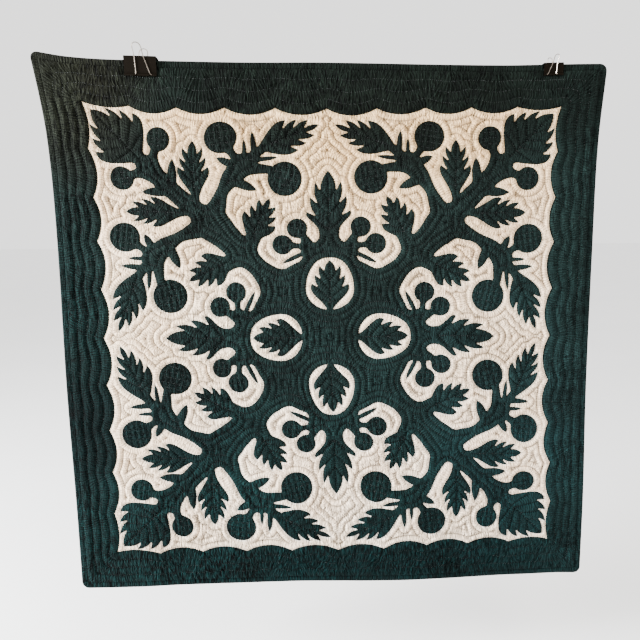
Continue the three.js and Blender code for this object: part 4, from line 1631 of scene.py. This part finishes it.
class Bench:
    """Lays out and joins the nodes of one tree."""

    def __init__(self, tree: bpy.types.NodeTree) -> None:
        """Keeps the tree."""
        self.tree = tree

    def fill(self, node: bpy.types.Node, inputs: dict[str | int, Value]) -> bpy.types.Node:
        """Joins or fills a node's inputs, by their names or numbers."""
        for name, value in inputs.items():
            if isinstance(value, Socket):
                self.tree.links.new(value, node.inputs[name])
            else:
                node.inputs[name].default_value = value
        return node

    def add(self, kind: str, inputs: dict | None = None, **settings: str | bool) -> bpy.types.Node:
        """Adds a node, with its settings, and joins or fills its inputs."""
        node = self.tree.nodes.new(kind)
        for name, value in settings.items():
            setattr(node, name, value)
        return self.fill(node, inputs or {})

    def attribute(self, name: str, output: str = "Fac") -> Socket:
        """What each point of a sheet was given under a name."""
        return self.add("ShaderNodeAttribute", attribute_name=name).outputs[output]

    def place(self) -> Socket:
        """Each point's place in metres."""
        return self.add("ShaderNodeTexCoord").outputs["Object"]

    def math(self, operation: str, a: Value, b: Value = 0.0) -> Socket:
        """The result of an operation on one or two values."""
        return self.add("ShaderNodeMath", {0: a, 1: b}, operation=operation).outputs[0]

    def times(self, a: Value, b: Value, more: float = 0.0) -> Socket:
        """A product of two values, with a number added to it."""
        product = self.math("MULTIPLY", a, b)
        return self.math("ADD", product, more) if more else product

    def vector(self, operation: str, a: Value, b: Value = (0.0, 0.0, 0.0)) -> Socket:
        """The result of an operation on vectors, or the length of the first."""
        node = self.add("ShaderNodeVectorMath", {0: a, 1: b}, operation=operation)
        return node.outputs["Value" if operation == "LENGTH" else "Vector"]

    def noise(
        self, vector: Value, scale: float, detail: float = 2.0, rough: float = 0.5, warp: float = 0
    ) -> Socket:
        """Noise from 0 to 1."""
        inputs = {"Vector": vector, "Scale": scale, "Detail": detail, "Roughness": rough}
        return self.add("ShaderNodeTexNoise", inputs | {"Distortion": warp}).outputs[0]

    def span(
        self, value: Value, low: float, high: float, to_low: float = 0.0, to_high: float = 1.0
    ) -> Socket:
        """Maps a span of values to another, smoothly and with its ends held."""
        inputs = {0: value, 1: low, 2: high, 3: to_low, 4: to_high}
        return self.add("ShaderNodeMapRange", inputs, interpolation_type="SMOOTHSTEP").outputs[0]

    def mix(self, share: Value, a: Value, b: Value, blend: str = "MIX") -> Socket:
        """Mixes two colours."""
        node = self.add("ShaderNodeMix", {0: share, 6: a, 7: b}, data_type="RGBA", blend_type=blend)
        return node.outputs[2]

    def toned(self, tone: Value, *factors: Value) -> Socket:
        """A colour with its channels multiplied, all by one factor or each by its own."""
        red, green, blue = factors * 3 if len(factors) == 1 else factors
        both = self.add("ShaderNodeCombineColor", {0: red, 1: green, 2: blue}).outputs[0]
        return self.mix(1.0, tone, both, "MULTIPLY")

    def bump(
        self, height: Value, distance: float, strength: float, normal: Socket | None = None
    ) -> Socket:
        """Turns a height into a bent normal, over another one if it is given."""
        inputs = {"Height": height, "Distance": distance, "Strength": strength}
        if normal is not None:
            inputs["Normal"] = normal
        return self.add("ShaderNodeBump", inputs).outputs[0]


def new_material(name: str) -> tuple[Material, Bench, bpy.types.Node]:
    """A new material with its bench and its shader."""
    material = bpy.data.materials.new(name)
    material.use_nodes = True
    return material, Bench(material.node_tree), material.node_tree.nodes["Principled BSDF"]


def colour(red: float, green: float, blue: float) -> Colour:
    """A colour from its screen values, 0 to 255."""

    def linear(value: float) -> float:
        """One channel as light."""
        share = value / 255
        return share / 12.92 if share <= 0.04045 else ((share + 0.055) / 1.055) ** 2.4

    return (linear(red), linear(green), linear(blue), 1.0)


class PaintedLightPatch(NamedTuple):
    """A soft patch of painted light and shade, toning the cloth as the light there would: its
    middle and reach in metres, and its factors.
    """

    x: float
    z: float
    wide: float
    high: float
    red: float
    green: float
    blue: float


@dataclass(frozen=True)
class CottonFinish:
    """Quilted cotton: weave, puckers, mottling, painted shade in the stitch lines, and painted
    light and shade on the relief.

    Depths and pitches are in metres.

    Attributes:
        valley: How light the painted shade leaves the stitch lines, as a share of the cloth.
        streak: How strongly painted light and shade follow the ridges and crinkles.
        low_crinkle: How many times as deep the crinkles are below low_line.
        right_fade: How far all painted shade fades towards the right.
        edge_glow: How far the cloth is painted lighter along its seams, as painted light against
            the shade there.
        behind: The factors of the tone on the back.
    """

    name: str
    low: Colour
    high: Colour
    valley: float
    mottle: float
    sheen: float
    specular: float
    pucker: float
    crinkle: float
    streak: float
    tints: tuple[PaintedLightPatch, ...]
    low_crinkle: float
    low_line: float = -0.7
    right_fade: float = 0.0
    edge_glow: float = 0.0
    behind: Colour = (1.0, 1.0, 1.0, 1.0)
    weave: float = 0.00007
    weave_pitch: float = 0.00062

    def weave_height(self, bench: Bench, uv: Socket) -> Socket:
        """The over and under of the threads."""
        ways = bench.add("ShaderNodeSeparateXYZ", {0: uv}).outputs
        turns = (bench.times(ways[way], 2 * math.pi / self.weave_pitch) for way in (0, 1))
        return bench.times(*(bench.math("SINE", turn) for turn in turns))

    def ridges(self, bench: Bench, uv: Socket) -> list[Socket]:
        """Two sets of ridges that run across the rows of stitches."""
        turn = bench.add("ShaderNodeSeparateXYZ", {0: bench.attribute(ROW_TURN, "Vector")}).outputs
        angle = bench.times(bench.math("ARCTAN2", turn[1], turn[0]), 0.5)
        ridges = []
        for scale, frequency in ((95.0, 2.6), (60.0, 2.9)):
            inputs = {"Vector": uv, "Scale": scale, "Frequency": frequency, "Anisotropy": 0.9}
            node = bench.add("ShaderNodeTexGabor", inputs, gabor_type="2D")
            flat_turns = [s for s in node.inputs if s.name == "Orientation" and s.type == "VALUE"]
            bench.tree.links.new(angle, flat_turns[0])
            ridges.append(node.outputs[0])
        return ridges

    def crinkles(self, bench: Bench, uv: Socket, place: Socket, height: Socket) -> Socket:
        """Uneven crinkles about 0, in patches, and deeper along the foot."""
        stretched = bench.vector("MULTIPLY", uv, (300.0, 62.0, 1.0))
        crinkle = bench.noise(stretched, 1.0, 2.0, 0.55, 0.5)
        fade = bench.span(bench.noise(place, 7.0, 1.0), 0.35, 0.62, 0.35, 1.0)
        low = bench.span(height, self.low_line - 0.05, self.low_line, self.low_crinkle, 1.0)
        return bench.times(bench.math("SUBTRACT", crinkle, 0.5), bench.times(fade, low))

    def normal(self, bench: Bench, uv: Socket, ridges: list[Socket], crinkle: Socket) -> Socket:
        """The bent normal of ridges, crinkles, slubs and weave."""
        ridge = bench.math("ADD", ridges[0], bench.times(ridges[1], 0.6))
        threads = bench.math("ADD", self.weave_height(bench, uv), bench.noise(uv, 2600.0))
        normal = bench.bump(ridge, self.pucker, 1.0)
        normal = bench.bump(crinkle, self.crinkle, 1.0, normal)
        normal = bench.bump(bench.noise(uv, 210.0, 3.0), 0.0005, 0.6, normal)
        return bench.bump(threads, self.weave, 0.7, normal)

    def shade(self, bench: Bench, across: Socket, ridge: Socket, crinkle: Socket) -> Socket:
        """Painted shade: how light the cloth is painted, darker in the stitch lines, with painted
        light and shade on ridges and crinkles.
        """
        # All painted shade is weaker towards the right.
        strength = bench.span(across, -0.25, 0.42, 1.0, 1 - self.right_fade)
        # Painted shade in the stitch lines, deepest where the puff is lowest.
        valley = bench.span(bench.attribute(PUFF), 0.0, 0.6, self.valley - 1, 0.0)
        streak = self.streak
        # Painted light on the crests of ridges and crinkles, and painted shade beside them.
        by_ridge = bench.span(ridge, 0.3, 0.7, 1 - 0.6 * streak, 1 + 0.45 * streak)
        by_crinkle = bench.span(crinkle, -0.22, 0.22, 1 - 0.85 * streak, 1 + 0.75 * streak)
        relief_shading = bench.math("SUBTRACT", bench.times(by_ridge, by_crinkle), 1.0)
        return bench.times(bench.times(valley, strength, 1.0), bench.times(relief_shading, strength, 1.0))

    def tinted(self, bench: Bench, place: Socket, tone: Socket) -> Socket:
        """The tone with its soft patches of painted light and shade on the front and its own
        factors on the back.
        """
        front = bench.attribute(FRONT)
        tone = bench.mix(front, bench.mix(1.0, tone, self.behind, "MULTIPLY"), tone)
        for tint in self.tints:
            offset = bench.vector("SUBTRACT", place, (tint.x, 0.0, tint.z))
            scaled = bench.vector("MULTIPLY", offset, (1 / tint.wide, 0.0, 1 / tint.high))
            near = bench.span(bench.vector("LENGTH", scaled), 0.25, 1.0, 1.0, 0.0)
            tinted = bench.mix(1.0, tone, (tint.red, tint.green, tint.blue, 1.0), "MULTIPLY")
            tone = bench.mix(bench.times(near, front), tone, tinted)
        return tone

    def make(self) -> Material:
        """Builds the material."""
        material, bench, shader = new_material(self.name)
        uv = bench.add("ShaderNodeUVMap", uv_map=CLOTH_UV).outputs[0]
        place = bench.place()
        ways = bench.add("ShaderNodeSeparateXYZ", {0: place}).outputs
        ridges = self.ridges(bench, uv)
        crinkle = self.crinkles(bench, uv, place, ways[2])
        patch = bench.noise(place, 9.0, 3.0, 0.6)
        patch = bench.span(patch, 0.3, 0.7, 0.5 - self.mottle / 2, 0.5 + self.mottle / 2)
        fleck = bench.noise(uv, 700.0)
        tone = bench.mix(patch, self.low, self.high)
        tone = bench.toned(tone, bench.span(fleck, 0.25, 0.75, 0.9, 1.08))
        # Painted light along the seams: the cloth is made lighter there, most in blue, against the
        # shade at the seam.
        if self.edge_glow:
            seam_light = bench.span(bench.attribute(EDGE_GAP), 0.4, 2.4, self.edge_glow, 0.0)
            tone = bench.toned(tone, *(bench.times(seam_light, share, 1.0) for share in (0.6, 1.0, 1.6)))
        # The tone takes the painted shade of the stitch lines and of the relief.
        tone = bench.toned(tone, self.shade(bench, ways[0], ridges[0], crinkle))
        # The base colour takes on the soft patches of painted light and shade.
        looks = {
            "Base Color": self.tinted(bench, place, tone),
            "Roughness": bench.span(fleck, 0.2, 0.8, 0.84, 0.95),
            "Normal": self.normal(bench, uv, ridges, crinkle),
            "Sheen Weight": self.sheen,
            "Sheen Roughness": 0.45,
            "Specular IOR Level": self.specular,
        }
        bench.fill(shader, looks)
        return material


@dataclass(frozen=True)
class ThreadFinish:
    """Sewing thread with its ply."""

    name: str
    tone: Colour

    def make(self) -> Material:
        """Builds the material."""
        material, bench, shader = new_material(self.name)
        ply = bench.noise(bench.place(), 3000.0, 1.0)
        darker = tuple(0.6 * channel for channel in self.tone[:3]) + (1.0,)
        tone, normal = bench.mix(ply, darker, self.tone), bench.bump(ply, 0.00008, 0.6)
        looks = {"Base Color": tone, "Normal": normal, "Roughness": 0.6, "Sheen Weight": 0.2}
        bench.fill(shader, looks)
        return material


@dataclass(frozen=True)
class MetalFinish:
    """Black painted or plated steel, with fine scuffs."""

    name: str
    tone: Colour
    metal: float
    rough: float
    scuff: Colour
    specular: float

    def make(self) -> Material:
        """Builds the material."""
        material, bench, shader = new_material(self.name)
        place = bench.place()
        marks = bench.span(bench.noise(place, 420.0, 4.0, 0.7), 0.6, 0.78)
        haze = bench.noise(place, 160.0, 3.0)
        looks = {
            "Base Color": bench.mix(marks, self.tone, self.scuff),
            "Roughness": bench.span(haze, 0.3, 0.7, self.rough - 0.06, self.rough + 0.1),
            "Normal": bench.bump(bench.noise(place, 1500.0), 0.00003, 0.5),
            "Metallic": self.metal,
            "Specular IOR Level": self.specular,
        }
        bench.fill(shader, looks)
        return material


def dressed(obj: Object, material: Material) -> Object:
    """Gives an object one material."""
    obj.data.materials.clear()
    obj.data.materials.append(material)
    return obj


# --- Stitches ---


@dataclass
class StitchLines:
    """Rows of short stitches, made by Geometry Nodes along lines on the cloth, in metres."""

    name: str
    pitch: float = 0.0037
    length: float = 0.0022
    radius: float = 0.00022
    shortest: float = 0.82
    longest: float = 1.15
    seed: int = 11

    def tree(self, material: Material) -> tuple[bpy.types.NodeTree, dict[str, str]]:
        """Builds the tree.

        Args:
            material: The thread's material.

        Returns:
            The tree, and the identifier of each named input.
        """
        tree = bpy.data.node_groups.new(f"{self.name}_tree", "GeometryNodeTree")
        for way in ("INPUT", "OUTPUT"):
            tree.interface.new_socket("Geometry", in_out=way, socket_type="NodeSocketGeometry")
        keys = {}
        for label in ("Pitch", "Length", "Radius"):
            socket = tree.interface.new_socket(label, in_out="INPUT", socket_type="NodeSocketFloat")
            keys[label] = socket.identifier
        bench = Bench(tree)
        given = bench.add("NodeGroupInput").outputs
        curve = bench.add("GeometryNodeMeshToCurve", {0: given["Geometry"]}).outputs[0]
        steps = {"Curve": curve, "Length": given["Pitch"]}
        even = bench.add("GeometryNodeResampleCurve", steps, mode="LENGTH").outputs[0]
        round_ball = {"Segments": 4, "Rings": 3, "Radius": 1.0}
        ball = bench.add("GeometryNodeMeshUVSphere", round_ball).outputs[0]
        tangent = {"Vector": bench.add("GeometryNodeInputTangent").outputs[0]}
        align = bench.add("FunctionNodeAlignRotationToVector", tangent, axis="Z").outputs[0]
        shares = {2: self.shortest, 3: self.longest, "Seed": self.seed}
        jitter = bench.add("FunctionNodeRandomValue", shares, data_type="FLOAT").outputs[1]
        long = bench.times(bench.times(given["Length"], 0.5), jitter)
        sizes = {0: given["Radius"], 1: given["Radius"], 2: long}
        scale = bench.add("ShaderNodeCombineXYZ", sizes).outputs[0]
        stitch = {"Points": even, "Instance": ball, "Rotation": align, "Scale": scale}
        laid = bench.add("GeometryNodeInstanceOnPoints", stitch).outputs[0]
        real = bench.add("GeometryNodeRealizeInstances", {0: laid}).outputs[0]
        thread = {"Geometry": real, "Material": material}
        bench.add("NodeGroupOutput", {0: bench.add("GeometryNodeSetMaterial", thread).outputs[0]})
        return tree, keys

    def build(self, points: Array, pairs: Array, material: Material) -> Object:
        """Sews stitches along joined points.

        Args:
            points: Places on the cloth in metres.
            pairs: Which of them are joined.
            material: The thread's material.

        Returns:
            The stitches as a plain mesh object.
        """
        mesh = bpy.data.meshes.new(f"{self.name}_lines")
        mesh.from_pydata(points.tolist(), pairs.tolist(), [])
        path = linked(f"{self.name}_lines", mesh)
        modifier = path.modifiers.new("stitches", "NODES")
        modifier.node_group, keys = self.tree(material)
        for label, key in keys.items():
            modifier[key] = getattr(self, label.lower())
        evaluated = path.evaluated_get(bpy.context.evaluated_depsgraph_get())
        made = bpy.data.meshes.new_from_object(evaluated)
        made.name = self.name
        made.polygons.foreach_set("use_smooth", np.ones(len(made.polygons), bool))
        obj = linked(self.name, made)
        bpy.data.objects.remove(path)
        return obj


# --- The stage ---


@dataclass
class Studio:
    """A pale floor, soft lights and the camera, in metres and degrees."""

    floor_height: float = -1.12
    floor_reach: float = 30.0
    lens: float = 35.7
    place: Triple = (-0.0603, -1.0785, -0.2674)
    yaw: float = 2.18
    pitch: float = 8.21
    roll: float = -0.53
    aim: Triple = (0.0, 0.0, -0.45)

    def floor(self) -> None:
        """Lays the plain pale floor."""
        reach = self.floor_reach
        corners = [(-reach, -reach), (reach, -reach), (reach, reach), (-reach, reach)]
        mesh = bpy.data.meshes.new("floor")
        mesh.from_pydata([(x, y, self.floor_height) for x, y in corners], [], [(0, 1, 2, 3)])
        obj = linked("floor", mesh)
        material, bench, shader = new_material("pale_floor")
        shades = (colour(240, 240, 240), colour(246, 246, 246))
        tone = bench.mix(bench.noise(bench.place(), 2.0), *shades)
        bench.fill(shader, {"Base Color": tone, "Roughness": 0.9})
        dressed(obj, material)

    def light(self, name: str, place: tuple, size: float, power: float, tint: tuple) -> None:
        """Hangs a soft square light that faces the quilt's middle."""
        data = bpy.data.lights.new(name, "AREA")
        data.size, data.energy, data.color = size, power, tint
        lamp = linked(name, data)
        lamp.location = place
        way = Vector(self.aim) - Vector(place)
        lamp.rotation_euler = way.to_track_quat("-Z", "Y").to_euler()

    def camera(self) -> None:
        """Sets up the camera."""
        data = bpy.data.cameras.new("camera")
        data.lens, data.sensor_width = self.lens, 36.0
        camera = linked("camera", data)
        camera.location = self.place
        turn = Euler((math.radians(90 - self.pitch), 0.0, -math.radians(self.yaw)), "XYZ")
        roll = Euler((0.0, 0.0, math.radians(self.roll)), "XYZ")
        camera.rotation_euler = (turn.to_matrix() @ roll.to_matrix()).to_euler()
        bpy.context.scene.camera = camera

    def build(self) -> None:
        """Sets the stage."""
        self.floor()
        self.camera()
        world = bpy.data.worlds.new("studio")
        world.use_nodes = True
        sky = world.node_tree.nodes["Background"]
        Bench(world.node_tree).fill(sky, {0: (1.0, 0.995, 0.985, 1.0), 1: 2.0})
        bpy.context.scene.world = world
        self.light("window", (-2.6, -0.9, 0.2), 1.0, 470.0, (0.95, 0.98, 1.0))
        self.light("lamp", (0.8, -2.0, 1.6), 1.2, 60.0, (1.0, 0.93, 0.84))


# --- The whole ---

# Soft patches of painted light and shade on the cream: darker and warmer along the top, lighter in
# the middle, darker and cooler towards the foot.
CREAM_PAINTED_LIGHT = (
    PaintedLightPatch(0.05, -0.02, 0.8, 0.45, 0.84, 0.72, 0.53),
    PaintedLightPatch(-0.05, -0.42, 0.32, 0.32, 1.08, 1.1, 1.12),
    PaintedLightPatch(0.0, -0.92, 0.55, 0.22, 0.93, 0.96, 0.98),
    PaintedLightPatch(0.05, -0.76, 0.6, 0.42, 0.99, 1.02, 1.1),
)
CREAM = CottonFinish(
    "cream_cotton",
    colour(218, 189, 155),
    colour(232, 207, 177),
    valley=0.46,
    mottle=0.6,
    sheen=0.03,
    specular=0.1,
    pucker=0.0034,
    crinkle=0.0065,
    streak=0.5,
    tints=CREAM_PAINTED_LIGHT,
    low_crinkle=1.4,
    edge_glow=0.45,
    behind=(0.97, 1.03, 1.1, 1.0),
)
# Soft patches of painted light and shade on the green: darker and warmer along the top, a painted
# warm sheen at the top-left corner, darker down the left, cooler towards the foot and lighter at
# the right.
GREEN_PAINTED_LIGHT = (
    PaintedLightPatch(0.05, 0.0, 0.8, 0.26, 0.6, 0.44, 0.34),
    PaintedLightPatch(-0.44, -0.03, 0.2, 0.22, 2.2, 1.16, 0.88),
    PaintedLightPatch(-0.38, -0.22, 0.3, 0.18, 0.83, 0.82, 0.8),
    PaintedLightPatch(-0.47, -0.47, 0.16, 0.38, 0.42, 0.72, 0.74),
    PaintedLightPatch(-0.46, -0.6, 0.15, 0.13, 0.4, 0.5, 0.5),
    PaintedLightPatch(0.1, -0.92, 0.6, 0.2, 0.54, 0.71, 0.74),
    PaintedLightPatch(-0.2, -0.9, 0.9, 0.48, 0.56, 1.02, 1.09),
    PaintedLightPatch(0.42, -0.72, 0.3, 0.26, 1.0, 1.18, 1.24),
    PaintedLightPatch(-0.3, -0.6, 0.22, 0.12, 0.76, 0.8, 0.82),
    PaintedLightPatch(0.28, -0.56, 0.24, 0.34, 1.2, 1.3, 1.38),
    PaintedLightPatch(0.0, -0.22, 0.6, 0.24, 1.2, 1.0, 0.97),
)
GREEN = CottonFinish(
    "green_cotton",
    colour(10.4, 20.2, 18.9),
    colour(17.5, 31.8, 30.6),
    valley=0.35,
    mottle=0.8,
    sheen=0.0,
    specular=0.06,
    pucker=0.0036,
    crinkle=0.009,
    streak=1.05,
    tints=GREEN_PAINTED_LIGHT,
    low_crinkle=2.0,
    low_line=-0.79,
    right_fade=0.35,
)
CREAM_THREAD = ThreadFinish("cream_thread", colour(226, 208, 186))
GREEN_THREAD = ThreadFinish("green_thread", colour(13, 27, 25))
BLACK_STEEL = MetalFinish("black_steel", colour(8, 5, 2), 0.0, 0.6, colour(26, 20, 15), 0.03)
PLATED_WIRE = MetalFinish(
    "plated_wire", colour(140, 130, 120), 1.0, 0.3, colour(110, 102, 95), 0.5
)
THREADS = {Region.CREAM: CREAM_THREAD, Region.MOTIF: GREEN_THREAD, Region.BORDER: GREEN_THREAD}
STITCH_LIFT = 0.12


def stitch_rows(
    plan: QuiltPlan, cloth: HungCloth, padding: Padding, region: Region
) -> tuple[Array, Array]:
    """Lines of stitches over one region of the whole cloth.

    Args:
        plan: The plan of one eighth.
        cloth: The hung cloth.
        padding: The padding, which sets the height of the valleys.
        region: The region.

    Returns:
        The points in metres and the pairs of them that are joined.
    """
    sets = plan.rows(region, 0.0)
    if region is Region.MOTIF:
        for line in plan.inner_lines(STITCH_LINE_STEP):
            number = np.arange(len(line))
            sets.append((line, np.column_stack((number[:-1], number[1:]))))
    pairs, start = [], 0
    for row, joined in sets:
        pairs.append(joined + start)
        start += len(row)
    eighth, eighth_pairs = np.concatenate([row for row, _ in sets]), np.concatenate(pairs)
    _, way, gap = plan.read(eighth, np.full(len(eighth), int(region)))
    flats, ways = (
        np.concatenate([values @ matrix for matrix in eighth_copies()]) for values in (eighth, way)
    )
    all_pairs = np.concatenate([eighth_pairs + k * start for k in range(EIGHTHS)])
    no_faces, no_puff = np.zeros((0, 3), int), np.zeros(len(flats))
    spread = Spread(flats, no_faces, no_puff, ways, np.tile(gap, EIGHTHS))
    lift = padding.face(spread, cloth, region)
    lift = lift + (0.0 if region is Region.CREAM else padding.cloth)
    return cloth.points(flats, lift + STITCH_LIFT), all_pairs


def report(obj: Object) -> None:
    """Logs how many triangles a piece has."""
    count = sum(len(polygon.vertices) - 2 for polygon in obj.data.polygons)
    LOG.info("%s: %d triangles", obj.name, count)


def main() -> None:
    """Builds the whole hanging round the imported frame."""
    logging.basicConfig(level=logging.INFO, format="%(message)s")
    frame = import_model()
    LOG.info("nodes in the frame: %d", len(frame["nodes"]))
    cloth, padding = HungCloth(), Padding()
    plan = QuiltPlan(grain=1.0)
    face, hidden, back = plan.face_mesh(), plan.hidden_mesh(), plan.back_mesh()
    green = GREEN.make()
    quilt = QuiltGround(plan, cloth, padding).build(face, hidden, back)
    ground = dressed(quilt, CREAM.make())
    applique = Applique(plan, cloth, padding)
    motif = dressed(applique.build("motif_cloth", face, hidden, Region.MOTIF), green)
    border = dressed(applique.build("border_cloth", face, hidden, Region.BORDER), green)
    binding = dressed(Binding(cloth).build(), green)
    pieces = [
        (ground, "quilt_ground", "cream_cotton"),
        (motif, "motif_applique", "green_cotton"),
        (border, "border_applique", "green_cotton"),
        (binding, "binding", "green_cotton"),
    ]
    for obj, node, slot in pieces:
        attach(obj, "root")
        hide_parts(node)
        report(obj)
    clip_bodies = ["left_clip_body", "right_clip_body"]
    for region, thread in THREADS.items():
        points, pairs = stitch_rows(plan, cloth, padding, region)
        lines = StitchLines(f"{region.name.lower()}_stitches")
        sewn = lines.build(points, pairs, thread.make())
        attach(sewn, "root")
        report(sewn)
    black, plated = BLACK_STEEL.make(), PLATED_WIRE.make()
    for body in clip_bodies:
        dressed(bpy.data.objects[body], black)
        for side in ("front", "back"):
            dressed(bpy.data.objects[body.replace("body", f"{side}_handle")], plated)
    Studio().build()


if __name__ == "__main__":
    main()
